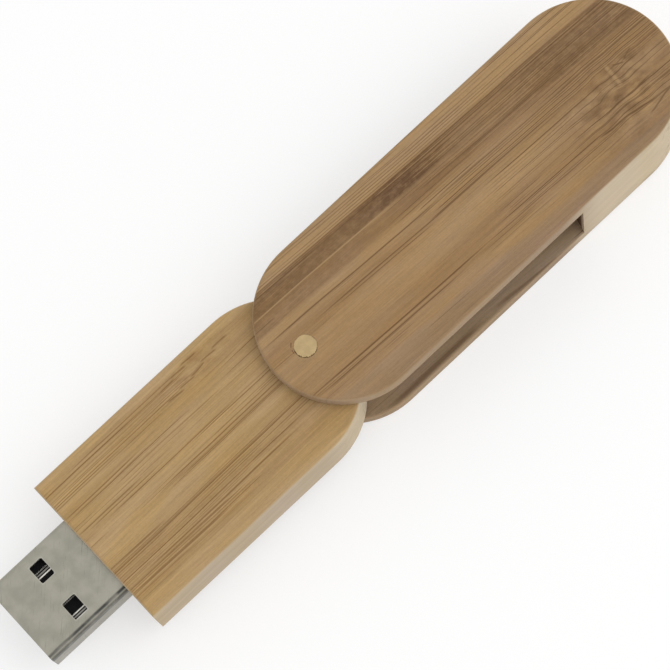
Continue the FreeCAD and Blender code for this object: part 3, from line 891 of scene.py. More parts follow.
@dataclass(frozen=True)
class SmallMetal(Finish):
    """Solder, tinned leads and end caps, and the crystal's lid."""

    look: MetalLook

    def lay(self, bench: MaterialBench, effects: Effects) -> None:
        """Lay out the finish's nodes.

        Args:
            bench: the material's bench.
            effects: the shared effects.
        """
        plain, worn, roughness = self.look.value
        skin = effects.metal.place(bench, Place=bench.place, Blotch_Scale=1.6, Scratch_Scale=3.5)
        colour = bench.blend(bench.ease(skin["Blotch"], 0.35, 0.7), paint(plain), paint(worn))
        colour = bench.blend(bench.product(skin["Scratch"], 0.4), colour, paint(worn))
        bench.surface(Base_Color=colour, Metallic=0.95)
        bench.surface(Roughness=bench.math("MULTIPLY_ADD", skin["Grit"], 0.2, roughness))
        bench.relief(skin["Grit"], 0.006, 0.4)


@dataclass(frozen=True)
class ContactWithPaintedLight(Finish):
    """A flashed contact spring, painted dark for the shade inside the plug, with bright lines along it that
    are wipe marks from plugging in and painted highlights.
    """

    # The plating colour is painted shade, dark for the shade inside the plug; the bright colour is for wipe
    # marks with painted highlight.
    shaded_plate: Colour
    wiped_and_highlighted: Colour
    lanes: tuple[float, ...]
    rim_line: float = 0.36
    middle_share: float = 0.40

    def lay(self, bench: MaterialBench, effects: Effects) -> None:
        """Lay out the finish's nodes.

        Args:
            bench: the material's bench.
            effects: the shared effects.
        """
        _, y, _ = bench.parts(bench.place)
        out = bench.math("ABSOLUTE", y)
        near: Feed = 10.0
        for lane in self.lanes:
            beside = bench.math("ABSOLUTE", bench.math("SUBTRACT", out, lane))
            near = bench.math("MINIMUM", near, beside)
        off_rim = bench.math("ABSOLUTE", bench.math("SUBTRACT", near, self.rim_line))
        rim_line = bench.ease(off_rim, 0.11, 0.05)
        middle_line = bench.ease(near, 0.12, 0.03)
        lines = bench.math("MAXIMUM", rim_line, bench.product(middle_line, self.middle_share))
        skin = effects.metal.place(bench, Place=bench.place, Blotch_Scale=1.6, Scratch_Scale=3.5)
        # Dark painted shade, with bright lines that are wipe marks and painted highlights.
        colour = bench.blend(bench.product(lines, bench.ease(skin["Blotch"], 0.2, 0.6, 0.8, 1.0)),
                             paint(self.shaded_plate), paint(self.wiped_and_highlighted))
        bench.surface(Base_Color=colour, Metallic=bench.math("MULTIPLY_ADD", lines, 0.1, 0.85))
        bench.surface(Roughness=bench.math("MULTIPLY_ADD", skin["Grit"], 0.2, 0.22))
        bench.relief(skin["Grit"], 0.006, 0.4)


class PlasticLook(Enum):
    """How a moulded piece is coloured: its own colour, its flow marks' colour and its roughness."""

    INSULATOR = ((10, 10, 11), (16, 16, 18), 0.6)
    EPOXY = ((36, 36, 38), (48, 48, 50), 0.55)
    RESISTOR = ((30, 31, 34), (44, 45, 49), 0.30)
    CERAMIC = ((158, 122, 84), (174, 140, 102), 0.40)
    GLUE = ((214, 208, 184), (226, 222, 204), 0.25)
    FERRITE = ((62, 64, 68), (78, 80, 84), 0.45)
    WHITE = ((212, 212, 204), (226, 225, 218), 0.45)


@dataclass(frozen=True)
class Moulded(Finish):
    """Moulded plastic, epoxy, fired ceramic, ferrite and set glue."""

    look: PlasticLook

    def lay(self, bench: MaterialBench, effects: Effects) -> None:
        """Lay out the finish's nodes.

        Args:
            bench: the material's bench.
            effects: the shared effects.
        """
        plain, flow, roughness = self.look.value
        skin = effects.moulded.place(bench, Place=bench.place, Spark_Scale=11.0, Flow_Scale=0.9)
        edge = effects.edge.place(bench, Normal=bench.normal, Place=bench.place, Grain=3.0)
        colour = bench.blend(bench.ease(skin["Flow"], 0.3, 0.7), paint(plain), paint(flow))
        colour = bench.blend(bench.product(edge["Wear"], 0.4), colour, paint(flow))
        bench.surface(Base_Color=colour, Specular_IOR_Level=0.3)
        bench.surface(Roughness=bench.math("MULTIPLY_ADD", skin["Spark"], 0.2, roughness))
        bench.relief(skin["Spark"], 0.008, 0.5)


@dataclass(frozen=True)
class Track:
    """One straight copper track along X, in millimetres."""

    lane: float
    start: float
    stop: float


@dataclass(frozen=True)
class Laminate(Finish):
    """Green solder resist over copper tracks and the glass weave, with the bare glass at its edges."""

    resist: Colour
    over_copper: Colour
    glass: Colour
    weave_pitch: float = 9.0
    track_half_width: float = 0.16
    tracks: tuple[Track, ...] = (
        Track(-3.6, -34.0, -22.0), Track(-1.2, -34.0, -24.0), Track(1.2, -34.0, -24.0),
        Track(3.6, -34.0, -20.0), Track(0.0, -20.0, -13.0),
    )

    def lay(self, bench: MaterialBench, effects: Effects) -> None:
        """Lay out the finish's nodes.

        Args:
            bench: the material's bench.
            effects: the shared effects.
        """
        x, y, _ = bench.parts(bench.place)
        tracks: Feed = 0.0
        for track in self.tracks:
            mask = effects.belt.place(bench, Along=x, Across=y, Centre=track.lane,
                                      Half_Width=self.track_half_width, Fade=0.05, Start=track.start,
                                      Stop=track.stop, End_Fade=0.1)["Mask"]
            tracks = bench.math("MAXIMUM", mask, tracks)
        weave = bench.product(*(bench.math("SINE", bench.product(way, self.weave_pitch)) for way in (x, y)))
        skin = effects.moulded.place(bench, Place=bench.place, Spark_Scale=5.0, Flow_Scale=0.4)
        edge = effects.edge.place(bench, Normal=bench.normal, Place=bench.place, Grain=2.0)
        colour = bench.blend(bench.math("MULTIPLY_ADD", weave, 0.12, 0.15), paint(self.resist),
                             paint(self.over_copper))
        colour = bench.blend(tracks, colour, paint(self.over_copper))
        colour = bench.blend(bench.ease(edge["Upright"], 0.4, 0.9), colour, paint(self.glass))
        bench.surface(Base_Color=colour)
        bench.surface(Roughness=bench.math("MULTIPLY_ADD", skin["Spark"], 0.15, 0.25))
        bench.relief(bench.total(tracks, bench.product(weave, 0.1)), 0.03, 0.6)


@dataclass(frozen=True)
class ClearEpoxy(Finish):
    """The milky clear body of a small lamp, faintly warm over its chip."""

    body: Colour
    chip: Colour

    def lay(self, bench: MaterialBench, effects: Effects) -> None:
        """Lay out the finish's nodes.

        Args:
            bench: the material's bench.
            effects: the shared effects.
        """
        skin = effects.moulded.place(bench, Place=bench.place, Spark_Scale=6.0, Flow_Scale=2.4)
        colour = bench.blend(bench.ease(skin["Flow"], 0.4, 0.6), paint(self.body), paint(self.chip))
        bench.surface(Base_Color=colour, IOR=1.5)
        bench.surface(Roughness=bench.math("MULTIPLY_ADD", skin["Spark"], 0.1, 0.08))
        bench.relief(skin["Spark"], 0.004, 0.3)


# Shaping the small pieces

Ring = list[Vector]


def cad(node: str) -> bpy.types.Object:
    """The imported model's object for one node."""
    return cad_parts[node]


class Facing(Enum):
    """Which way a ring of points faces."""

    UP = "up"
    ALONG = "along"


def rounded_ring(middle: Vector, half_a: float, half_b: float, corner: float,
                 facing: Facing = Facing.UP) -> Ring:
    """A rectangle with round corners, in millimetres.

    Args:
        middle: its middle.
        half_a: half its side along X, or along Y if it faces along X.
        half_b: half its side along Y, or along Z if it faces along X.
        corner: the radius of its corners.
        facing: which way it faces.

    Returns:
        Its points in order.
    """
    points = []
    for turn, (side_a, side_b) in enumerate(((1, 1), (-1, 1), (-1, -1), (1, -1))):
        for step in range(CORNER_STEPS + 1):
            angle = math.radians(90 * (turn + step / CORNER_STEPS))
            a = side_a * (half_a - corner) + corner * math.cos(angle)
            b = side_b * (half_b - corner) + corner * math.sin(angle)
            points.append(middle + Vector((a, b, 0) if facing is Facing.UP else (0, a, b)))
    return points


def drawn_in(ring: Ring, centre: Vector, radius: float) -> Ring:
    """A level ring drawn in to a circle, each point going straight towards the circle's centre."""
    away = [Vector((point.x - centre.x, point.y - centre.y, 0)).normalized() for point in ring]
    return [centre + direction * radius for direction in away]


def rim(radius: float, steps: int = 3) -> list[tuple[float, float]]:
    """A quarter round from wall to end: how far short of the end, and how far in from the wall."""
    angles = [math.pi / 2 * step / steps for step in range(steps + 1)]
    return [(radius * (1 - math.sin(angle)), radius * (1 - math.cos(angle))) for angle in angles]


def solids(node: str) -> list[tuple[Vector, Vector]]:
    """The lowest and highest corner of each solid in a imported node.

    Args:
        node: the node's name.

    Returns:
        The corners in millimetres, in order along X and then along Y.
    """
    mesh = bmesh.new()
    mesh.from_mesh(cad(node).data)
    bmesh.ops.remove_doubles(mesh, verts=mesh.verts, dist=1e-7)
    boxes, left = [], set(mesh.verts)
    while left:
        waiting = [left.pop()]
        places = []
        while waiting:
            corner = waiting.pop()
            places.append(corner.co / MM)
            near = {edge.other_vert(corner) for edge in corner.link_edges} & left
            left -= near
            waiting.extend(near)
        low, high = (Vector(pick(place[axis] for place in places) for axis in range(3))
                     for pick in (min, max))
        boxes.append((low, high))
    mesh.free()
    return sorted(boxes, key=lambda box: [round(value, 2) for value in box[0]])


class Carving:
    """A piece's mesh while it is shaped, in millimetres until it is set in place."""

    def __init__(self, name: str) -> None:
        """Start with nothing."""
        self.name = name
        self.mesh = bmesh.new()

    def skin(self, rings: list[Ring], finishes: list[int] | None = None) -> None:
        """Stretch a closed skin over rings that have as many points each.

        Args:
            rings: from one end to the other.
            finishes: which of the piece's finishes each band takes, the first one if not given.
        """
        finishes = finishes or [0] * (len(rings) - 1)
        loops = [[self.mesh.verts.new(point) for point in ring] for ring in rings]
        self.mesh.faces.new(reversed(loops[0])).material_index = finishes[0]
        self.mesh.faces.new(loops[-1]).material_index = finishes[-1]
        count = len(loops[0])
        for first, second, finish in zip(loops, loops[1:], finishes):
            for index in range(count):
                after = (index + 1) % count
                corners = (first[index], first[after], second[after], second[index])
                self.mesh.faces.new(corners).material_index = finish

    def block(self, low: Vector, high: Vector, rounding: float, draft: float = 0.0) -> None:
        """Add an upright block with a rounded top rim and round corners.

        Args:
            low: its lowest corner.
            high: its highest corner.
            rounding: the radius of its rim and its corners.
            draft: how far it is drawn in towards its top.
        """
        middle, half = (low + high) / 2, (high - low) / 2
        levels = [(low.z, 0.0), *((high.z - back, draft + inset) for back, inset in rim(rounding))]
        self.skin([rounded_ring(Vector((middle.x, middle.y, level)), half.x - inset, half.y - inset,
                                rounding) for level, inset in levels])

    def set_in(self, body: str, slot: str, finishes: list[Material], *nodes: str) -> None:
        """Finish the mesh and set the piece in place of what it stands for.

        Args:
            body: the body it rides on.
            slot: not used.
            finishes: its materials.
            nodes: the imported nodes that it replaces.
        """
        bmesh.ops.scale(self.mesh, vec=(MM, MM, MM), verts=self.mesh.verts)
        bmesh.ops.recalc_face_normals(self.mesh, faces=self.mesh.faces)
        mesh = bpy.data.meshes.new(self.name)
        self.mesh.to_mesh(mesh)
        self.mesh.free()
        mesh.shade_smooth()
        mesh.set_sharp_from_angle(angle=math.radians(SHARP_DEGREES))
        for finish in finishes:
            mesh.materials.append(finish)
        piece = bpy.data.objects.new(self.name, mesh)
        bpy.context.scene.collection.objects.link(piece)
        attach(piece, body)
        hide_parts(*nodes)
        log.info("%s: rides on %s for %s, %d faces", self.name, body, ", ".join(nodes), len(mesh.polygons))


# The sub-assemblies


def dress(node: str, material: Material) -> None:
    """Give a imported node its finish.

    Args:
        node: the node's name.
        material: its material.
    """
    mesh = cad(node).data
    if not mesh.materials:
        mesh.materials.append(material)
    for index in range(len(mesh.materials)):
        mesh.materials[index] = material
    low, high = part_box(node)
    size = " x ".join(f"{side / MM:.1f}" for side in high - low)
    log.info("%s: %s, %s mm", node, material.name, size)


def stadium(low: Vector, high: Vector) -> Outline:
    """The outline of a piece of wood whose box is known, in millimetres.

    Args:
        low: the box's lowest corner, in metres.
        high: its highest corner.

    Returns:
        The outline, with its ends as round as the piece is wide.
    """
    radius = high.y / MM
    return Outline(near_centre=low.x / MM + radius, far_centre=high.x / MM - radius, radius=radius)


@dataclass
class Cover:
    """The slotted oblong cover and the dowel that the drive turns on."""

    effects: Effects
    dowel_radius: float = 1.5
    dowel_rim: float = 0.03
    tear_reach: float = 0.30
    dowel_tear: float = 0.26
    torn_side: float = 232.0
    dowel_steps: int = 96
    cheek: float = 2.4
    top: float = field(init=False)

    def __post_init__(self) -> None:
        """Read the cover's height from the frame."""
        self.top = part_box("cover")[1].z / MM

    def bamboo(self) -> Bamboo:
        """The cover's own piece of bamboo: brown, with a dark belt, a pale strip and a knuckle.

        Returns:
            Its finish.
        """
        low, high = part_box("cover")
        return Bamboo(
            name="bamboo_cover", seed=4.0,
            pale=(165, 134, 95), middle=(149, 117, 80), dark=(104, 76, 49), thread=(92, 64, 38),
            outline=stadium(low, high),
            # The inside colour is darker end grain with painted shade, for the slot's end wall and the
            # dowel's hole.
            side=SideWood(near=(166, 141, 112), far=(203, 185, 155), inside=(84, 60, 42), turns_at=35.0),
            lean=-0.035, thread_share=0.27, marks_above=self.top - 2.0,
            thread_belts=(
                Belt(centre=1.2, half_width=1.2, start=-14, stop=44, amount=0.07),
                Belt(centre=-5.6, half_width=0.9, start=-13, stop=34, amount=0.10),
                Belt(centre=-2.0, half_width=5.0, start=20, stop=70, amount=0.19),
                Belt(centre=5.2, half_width=3.4, start=16, stop=70, amount=0.24),
                Belt(centre=10.2, half_width=1.9, start=-14, stop=70, amount=0.14, fade=0.3),
                Belt(centre=-2.6, half_width=2.2, start=-14, stop=32, amount=-0.3),
                Belt(centre=-8.9, half_width=1.3, start=-14, stop=70, amount=-0.12),
            ),
            shade_belts=(
                Belt(centre=7.75, half_width=1.0, start=-18, stop=34, amount=0.72, fade=0.4),
                Belt(centre=5.5, half_width=0.9, start=-18, stop=22, amount=0.45, fade=0.5),
                Belt(centre=7.0, half_width=2.2, start=12, stop=76, amount=0.42),
                Belt(centre=1.0, half_width=9.0, start=36, stop=76, amount=0.30, fade=1.5),
                Belt(centre=10.9, half_width=1.7, start=-18, stop=76, amount=-1.0, fade=0.3),
            ),
            strokes=(
                Stroke(along=10.5, across=3.0, half_length=17, half_width=0.15, shade=-0.85),
                Stroke(along=10.5, across=3.3, half_length=17, half_width=0.12, shade=0.6),
                Stroke(along=19.0, across=1.5, half_length=18, half_width=0.12, shade=-0.8),
                Stroke(along=14.0, across=1.1, half_length=9, half_width=0.10, shade=-0.7),
                Stroke(along=11.0, across=-5.4, half_length=16, half_width=0.15, shade=-0.95),
                Stroke(along=8.5, across=-6.0, half_length=13, half_width=0.13, shade=-0.9),
                Stroke(along=8.5, across=-5.7, half_length=13, half_width=0.12, shade=0.7),
                Stroke(along=8.0, across=6.4, half_length=15, half_width=0.13, shade=0.9),
                Stroke(along=22.0, across=9.0, half_length=38, half_width=0.14, shade=-0.7),
                *self.strip_lines(),
                Stroke(along=50.8, across=0.2, turn=84, half_length=2.0, half_width=0.4, shade=0.8),
                Stroke(along=53.4, across=-0.3, turn=-52, half_length=2.4, half_width=0.7, shade=0.5),
                Stroke(along=52.3, across=0.9, turn=-25, half_length=0.9, half_width=0.14, shade=-0.8),
                Stroke(along=54.0, across=1.1, turn=20, half_length=1.0, half_width=0.14, shade=-0.7),
                Stroke(along=50.0, across=-2.8, turn=3, half_length=5.0, half_width=0.18, shade=-0.8),
                Stroke(along=48.5, across=-5.0, turn=-4, half_length=5.5, half_width=0.2, shade=-0.9),
                Stroke(along=53.0, across=-5.9, turn=14, half_length=3.0, half_width=0.16, shade=-0.7),
                Stroke(along=46.5, across=-1.6, half_length=3.2, half_width=0.8, shade=-0.4),
                # These two dark strokes by the dowel are painted shade: the dark gap between the dowel and
                # its hole.
                Stroke(along=-1.20, across=1.18, turn=47, half_length=0.4, half_width=0.09, shade=-1.0),
                Stroke(along=-1.60, across=0.35, turn=78, half_length=0.35, half_width=0.08, shade=-1.0),
            ),
            knuckles=(Knuckle(along=50, across=-2.0, reach_along=5.5, reach_across=4.2, wander=1.2),),
            floor_strokes=(
                Stroke(along=11, across=-10.0, turn=2, half_length=9, half_width=0.5, shade=-0.7),
                Stroke(along=28, across=-9.8, turn=-3, half_length=8, half_width=0.35, shade=-0.6),
            ),
            dull=(138, 115, 93),
            dull_belts=(Belt(centre=-9.8, half_width=1.7, start=-18, stop=60, amount=0.5),),
            # Painted shade over the level faces inside the slot, between the cheeks.
            slot_shade=(150, 134, 116), slot_levels=(self.cheek, self.top - self.cheek),
        )

    def strip_lines(self) -> list[Stroke]:
        """The fine straight lines that run on through the pale strip at the cover's far side.

        Returns:
            The strokes.
        """
        return [
            Stroke(along=16.0 + 9.0 * (step % 3), across=9.35 + 0.37 * step, half_length=27.0,
                   half_width=0.09, shade=-0.6)
            for step in range(5)
        ]

    def dowel(self) -> EndGrain:
        """The dowel's finish."""
        return EndGrain(name="dowel_end_grain", centre=(0.0, 0.0), radius=self.dowel_radius,
                        wood=(188, 162, 117), pore=(160, 130, 88), rim=(132, 104, 74))

    def dowel_ring(self, level: float, inset: float, tear: float) -> Ring:
        """One level ring round the dowel.

        Args:
            level: its height.
            inset: how far it lies in from the dowel's wall.
            tear: how deep the deepest torn place in it is.

        Returns:
            Its points in order.
        """
        points = []
        for step in range(self.dowel_steps):
            angle = 2 * math.pi * step / self.dowel_steps
            ragged = 0.5 + 0.5 * math.sin(19 * angle) * math.sin(8 * angle + level)
            torn = ragged * max(0.0, math.cos(angle - math.radians(self.torn_side)))
            radius = self.dowel_radius - inset - tear * torn
            points.append(Vector((radius * math.cos(angle), radius * math.sin(angle), level)))
        return points

    def build_dowel(self) -> None:
        """Turn the dowel, with the rims of its sanded ends a little torn."""
        torn = [(back, inset, self.dowel_tear) for back, inset in reversed(rim(self.dowel_rim))]
        ends = [*torn, (self.tear_reach, 0.0, 0.0)]
        rings = [self.dowel_ring(back, inset, tear) for back, inset, tear in ends]
        rings += [self.dowel_ring(self.top - back, inset, tear) for back, inset, tear in reversed(ends)]
        carving = Carving("turned_dowel")
        carving.skin(rings)
        carving.set_in("cover", "dowel_wood", [self.dowel().make(self.effects)], "swivel_dowel")

    def dress(self) -> None:
        """Give the cover its finish and set the dowel in it."""
        dress("cover", self.bamboo().make(self.effects))
        self.build_dowel()


@dataclass
class Body:
    """The wooden body of the drive and the adhesive that holds the plug in it."""

    effects: Effects
    top: float = field(init=False)

    def __post_init__(self) -> None:
        """Read the body's height from the frame."""
        self.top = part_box("body_block")[1].z / MM

    def bamboo(self) -> Bamboo:
        """The body's own piece of bamboo: honey coloured, with crowded straight threads.

        Returns:
            Its finish.
        """
        low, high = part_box("body_block")
        return Bamboo(
            name="bamboo_body", seed=23.0,
            pale=(181, 151, 107), middle=(170, 139, 94), dark=(141, 107, 66), thread=(118, 85, 48),
            outline=stadium(low, high),
            # The far colour, past turns_at, paints the body's rounded end paler than its long sides:
            # painted light on the end that faces the lamp.
            side=SideWood(near=(189, 170, 142), far=(203, 186, 159), inside=(150, 128, 98), turns_at=-6.0),
            lean=0.0, thread_share=0.28, marks_above=self.top - 1.5,
            thread_belts=(
                Belt(centre=8.2, half_width=1.2, start=-50, stop=-8, amount=0.28),
                Belt(centre=3.8, half_width=1.9, start=-50, stop=-12, amount=0.12),
                Belt(centre=3.8, half_width=1.9, start=-34, stop=14, amount=0.06),
                Belt(centre=0.2, half_width=1.2, start=-34, stop=14, amount=0.24),
                Belt(centre=-4.2, half_width=1.2, start=-50, stop=14, amount=0.28),
                Belt(centre=-7.0, half_width=1.4, start=-50, stop=-10, amount=0.32),
                Belt(centre=-2.1, half_width=0.8, start=-50, stop=14, amount=-0.3),
                Belt(centre=-10.0, half_width=1.4, start=-50, stop=14, amount=-0.22),
            ),
            shade_belts=(
                Belt(centre=8.3, half_width=1.1, start=-34, stop=2, amount=0.26),
                Belt(centre=-4.4, half_width=0.9, start=-50, stop=14, amount=0.20),
                Belt(centre=-6.6, half_width=1.4, start=-50, stop=4, amount=0.32),
                Belt(centre=-0.4, half_width=0.6, start=-32, stop=14, amount=0.18),
            ),
            strokes=(
                Stroke(along=-20.0, across=-6.4, half_length=15, half_width=0.16, shade=-0.9),
                Stroke(along=-28.0, across=-7.6, half_length=9, half_width=0.2, shade=-0.8),
                Stroke(along=-14.0, across=-0.2, half_length=12, half_width=0.13, shade=-0.9),
                Stroke(along=-13.0, across=-0.7, half_length=11, half_width=0.13, shade=-0.8),
                Stroke(along=-30.0, across=5.2, half_length=7, half_width=0.14, shade=-0.8),
                Stroke(along=-31.0, across=2.6, half_length=6, half_width=0.14, shade=-0.8),
                *self.knuckle_streaks(),
            ),
            knuckles=(Knuckle(along=-11, across=8.6, reach_along=3.5, reach_across=1.4, wander=0.7),),
        )

    def knuckle_streaks(self) -> list[Stroke]:
        """The short brown streaks where the stem joint fades out near the body's rounded end.

        Returns:
            The strokes.
        """
        return [
            Stroke(along=-15.5 + 2.1 * (step % 5), across=7.2 + 0.36 * step, turn=-5 + 4 * (step % 3),
                   half_length=1.5, half_width=0.17, shade=-0.75)
            for step in range(8)
        ]

    def dress(self) -> None:
        """Give the body and its adhesive their finishes."""
        dress("body_block", self.bamboo().make(self.effects))
        dress("glue_ring", Moulded("hot_melt_glue", PlasticLook.GLUE).make(self.effects))


@dataclass
class Plug:
    """The folded steel shell, the insulator in it and its four contacts."""

    effects: Effects
    window_from_tip: float = 6.4
    window_spacing: float = 6.2
    contact_lanes: tuple[float, ...] = (1.0, 3.5)
    contact_corner: float = 0.6
    contacts: tuple[str, ...] = (
        "contact_ground", "contact_data_plus", "contact_data_minus", "contact_vbus",
    )
    contact_shape: tuple[tuple[float, float, float], ...] = (
        (0.0, 0.45, 0.30), (0.12, 0.75, 0.45), (0.35, 0.95, 0.62), (0.9, 1.0, 0.85), (1.9, 1.0, 1.0),
        (3.0, 1.0, 0.95), (4.5, 1.0, 0.75), (6.0, 1.0, 0.68), (19.3, 1.0, 0.68),
    )

    def build_contact(self, node: str, finish: Material) -> None:
        """Form a contact spring: a strip with a narrowed tip and a low crown behind it.

        Args:
            node: the contact's node.
            finish: its material.
        """
        low, high = solids(node)[0]
        half_width, thickness = (high.y - low.y) / 2, high.z - low.z
        rings = []
        for from_tip, width_share, height_share in self.contact_shape:
            half_height = thickness * height_share / 2
            middle = Vector((low.x + from_tip, (low.y + high.y) / 2, low.z + half_height))
            rings.append(rounded_ring(middle, half_width * width_share, half_height,
                                      half_height * self.contact_corner, Facing.ALONG))
        carving = Carving(node.replace("contact", "spring"))
        carving.skin(rings)
        carving.set_in("drive", "contact_gold", [finish], node)

    def dress(self) -> None:
        """Give the plug's pieces their finishes and form its contacts."""
        low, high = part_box("plug_shell")
        # The steel's colours: nickel darkened by painted reflection, a dark colour for scratches and the
        # painted reflection along the bent side, and the painted highlight round the windows.
        steel = PlatedSteel(
            name="nickel_plate", metal=(157, 154, 142), scratch_and_reflection=(62, 62, 59), rim=(206, 204, 196),
            half_width=high.y / MM, height_centre=(low.z + high.z) / 2 / MM,
            window_along=low.x / MM + self.window_from_tip, window_across=self.window_spacing / 2,
        )
        dress("plug_shell", steel.make(self.effects))
        dress("plug_insulator", Moulded("black_insulator", PlasticLook.INSULATOR).make(self.effects))
        # The contact's dark colour is painted shade, and its bright lines are wipe marks with painted
        # highlight.
        wiped_and_highlighted = ContactWithPaintedLight("contact_with_painted_light", shaded_plate=(46, 44, 40), wiped_and_highlighted=(236, 233, 224),
                             lanes=self.contact_lanes)
        contact_finish = wiped_and_highlighted.make(self.effects)
        for contact in self.contacts:
            self.build_contact(contact, contact_finish)


@dataclass
class Board:
    """The circuit board inside the body and what is soldered to it, in millimetres."""

    effects: Effects
    rounding: float = 0.06
    draft: float = 0.10
    dimple_radius: float = 0.32
    dimple_depth: float = 0.12
    dimple_inset: float = 0.85
    cap_length: float = 0.32
    cap_step: float = 0.025
    can_base: float = 0.35
    can_flange: float = 0.06
    lens_half_length: float = 0.52
    lens_base: float = 0.15
    lead_thickness: float = 0.13
    lead_root: float = 0.08
    lead_shoulder: float = 0.08
    lead_ankle: float = 0.10
    lead_bends: tuple[float, ...] = (0.14, 0.26, 0.38, 0.50)
    mound_steps: int = 6
    mound_draw: float = 0.85
    mound_corner: float = 0.9

    def build_package(self, name: str, node: str, finish: Material, upward: bool) -> None:
        """Mould a chip's body: drafted both ways from its parting line, with a dimple at its first pin.

        Args:
            name: the piece's name.
            node: the node that it stands for.
            finish: its material.
            upward: whether the dimple is in its upper face, not its lower one.
        """
        low, high = solids(node)[0]
        middle, half = (low + high) / 2, (high - low) / 2
        way = 1 if upward else -1
        rounds = [(half.z - back, self.draft + inset) for back, inset in rim(self.rounding)]
        levels = [*((-level, inset) for level, inset in reversed(rounds)), (0.0, 0.0), *rounds]
        rings = [rounded_ring(middle + Vector((0, 0, way * level)), half.x - inset, half.y - inset,
                              2 * self.rounding) for level, inset in levels]
        mark = middle + Vector((-half.x + self.dimple_inset, half.y - self.dimple_inset, way * half.z))
        rings.append(drawn_in(rings[-1], mark, self.dimple_radius))
        sunk = mark - Vector((0, 0, way * self.dimple_depth))
        rings.append(drawn_in(rings[-1], sunk, self.dimple_radius * 0.8))
        carving = Carving(name)
        carving.skin(rings)
        carving.set_in("drive", "chip_black", [finish], node)

    def build_leads(self, finish: Material) -> None:
        """Bend the controller's leads from its body's parting line down to their feet on the board.

        Args:
            finish: their material.
        """
        chip_low, chip_high = solids("controller_chip")[0]
        chip = (chip_low + chip_high) / 2
        half_thick = self.lead_thickness / 2
        carving = Carving("gull_wing_leads")
        for low, high in solids("controller_leads"):
            middle, size = (low + high) / 2, high - low
            lengthwise = 0 if size.x > size.y else 1
            outward, sideways = Vector((0, 0, 0)), Vector((0, 0, 0))
            outward[lengthwise] = math.copysign(1.0, middle[lengthwise] - chip[lengthwise])
            sideways[1 - lengthwise] = size[1 - lengthwise] / 2
            length, foot = size[lengthwise], low.z + half_thick
            inner = Vector((middle.x, middle.y, 0)) - outward * length / 2
            levels = (chip.z, chip.z, chip.z - self.lead_shoulder, foot + self.lead_ankle, foot, foot)
            outs = (-self.lead_root, *(share * length for share in self.lead_bends), length)
            path = [inner + outward * out + Vector((0, 0, level)) for out, level in zip(outs, levels)]
            rings = []
            for index, point in enumerate(path):
                run = (path[min(index + 1, len(path) - 1)] - path[max(index - 1, 0)]).normalized()
                over = run.cross(sideways).normalized() * half_thick
                rings.append([point + sideways + over, point - sideways + over,
                              point - sideways - over, point + sideways - over])
            carving.skin(rings)
        carving.set_in("drive", "solder", [finish], "controller_leads")

    def end_capped(self, carving: Carving, low: Vector, high: Vector) -> None:
        """Add a bar along X whose ends are dipped in tin: its own finish first, the tin second.

        Args:
            carving: the mesh that it goes into.
            low: its lowest corner.
            high: its highest corner.
        """
        middle, half = (low + high) / 2, (high - low) / 2
        cap, step = half.x - self.cap_length, self.cap_step
        rounds = [(half.x - back, inset) for back, inset in rim(self.rounding)]
        far_half = [(cap - step, step), (cap, 0.0), *rounds]
        stations = [*((-along, inset) for along, inset in reversed(far_half)), *far_half]
        rings = [rounded_ring(middle + Vector((along, 0, 0)), half.y - inset, half.z - inset,
                              self.rounding / 2, Facing.ALONG) for along, inset in stations]
        bands = [abs(first[0] + second[0]) / 2 for first, second in zip(stations, stations[1:])]
        carving.skin(rings, [int(band > cap - step) for band in bands])

    def build_capped(self, name: str, node: str, slot: str, finishes: list[Material]) -> None:
        """Make a node's capacitors, resistors or beads, each a piece of its own.

        Args:
            name: what they are, which each piece's number follows.
            node: the node that they stand for.
            slot: the slot of their finish.
            finishes: the body's material and the end caps' one.
        """
        for number, (low, high) in enumerate(solids(node), start=1):
            carving = Carving(f"{name}_{number}")
            self.end_capped(carving, low, high)
            carving.set_in("drive", slot, finishes, node)

    def build_crystal(self, base: Material, lid: Material) -> None:
        """Set a drawn lid on the crystal's flat base.

        Args:
            base: the base's material.
            lid: the lid's material.
        """
        low, high = solids("crystal")[0]
        level = low.z + self.can_base
        flange = Vector((2 * self.rounding, 2 * self.rounding, 0))
        foot = Carving("crystal_base")
        foot.block(low, Vector((high.x, high.y, level)), self.rounding)
        foot.set_in("drive", "crystal_can", [base], "crystal")
        can = Carving("crystal_lid")
        flange_top = level + self.can_flange
        can.block(Vector((low.x, low.y, level)) + flange, Vector((high.x, high.y, flange_top)) - flange,
                  self.can_flange / 2)
        can.block(Vector((low.x, low.y, flange_top)) + 2 * flange, high - 2 * flange, 2 * self.rounding)
        can.set_in("drive", "crystal_can", [lid], "crystal")

    def build_lamp(self, base: list[Material], lens: Material) -> None:
        """Set a clear lens on the lamp's tinned base.

        Args:
            base: the base's material and the tin of its ends.
            lens: the lens's material.
        """
        low, high = solids("status_led")[0]
        level = low.z + self.lens_base
        middle = (low.x + high.x) / 2
        foot = Carving("lamp_base")
        self.end_capped(foot, low, Vector((high.x, high.y, level)))
        foot.set_in("drive", "led_clear", base, "status_led")
        clear = Carving("lamp_lens")
        clear.block(Vector((middle - self.lens_half_length, low.y + self.rounding, level)),
                    Vector((middle + self.lens_half_length, high.y - self.rounding, high.z)),
                    self.rounding, self.rounding)
        clear.set_in("drive", "led_clear", [lens], "status_led")

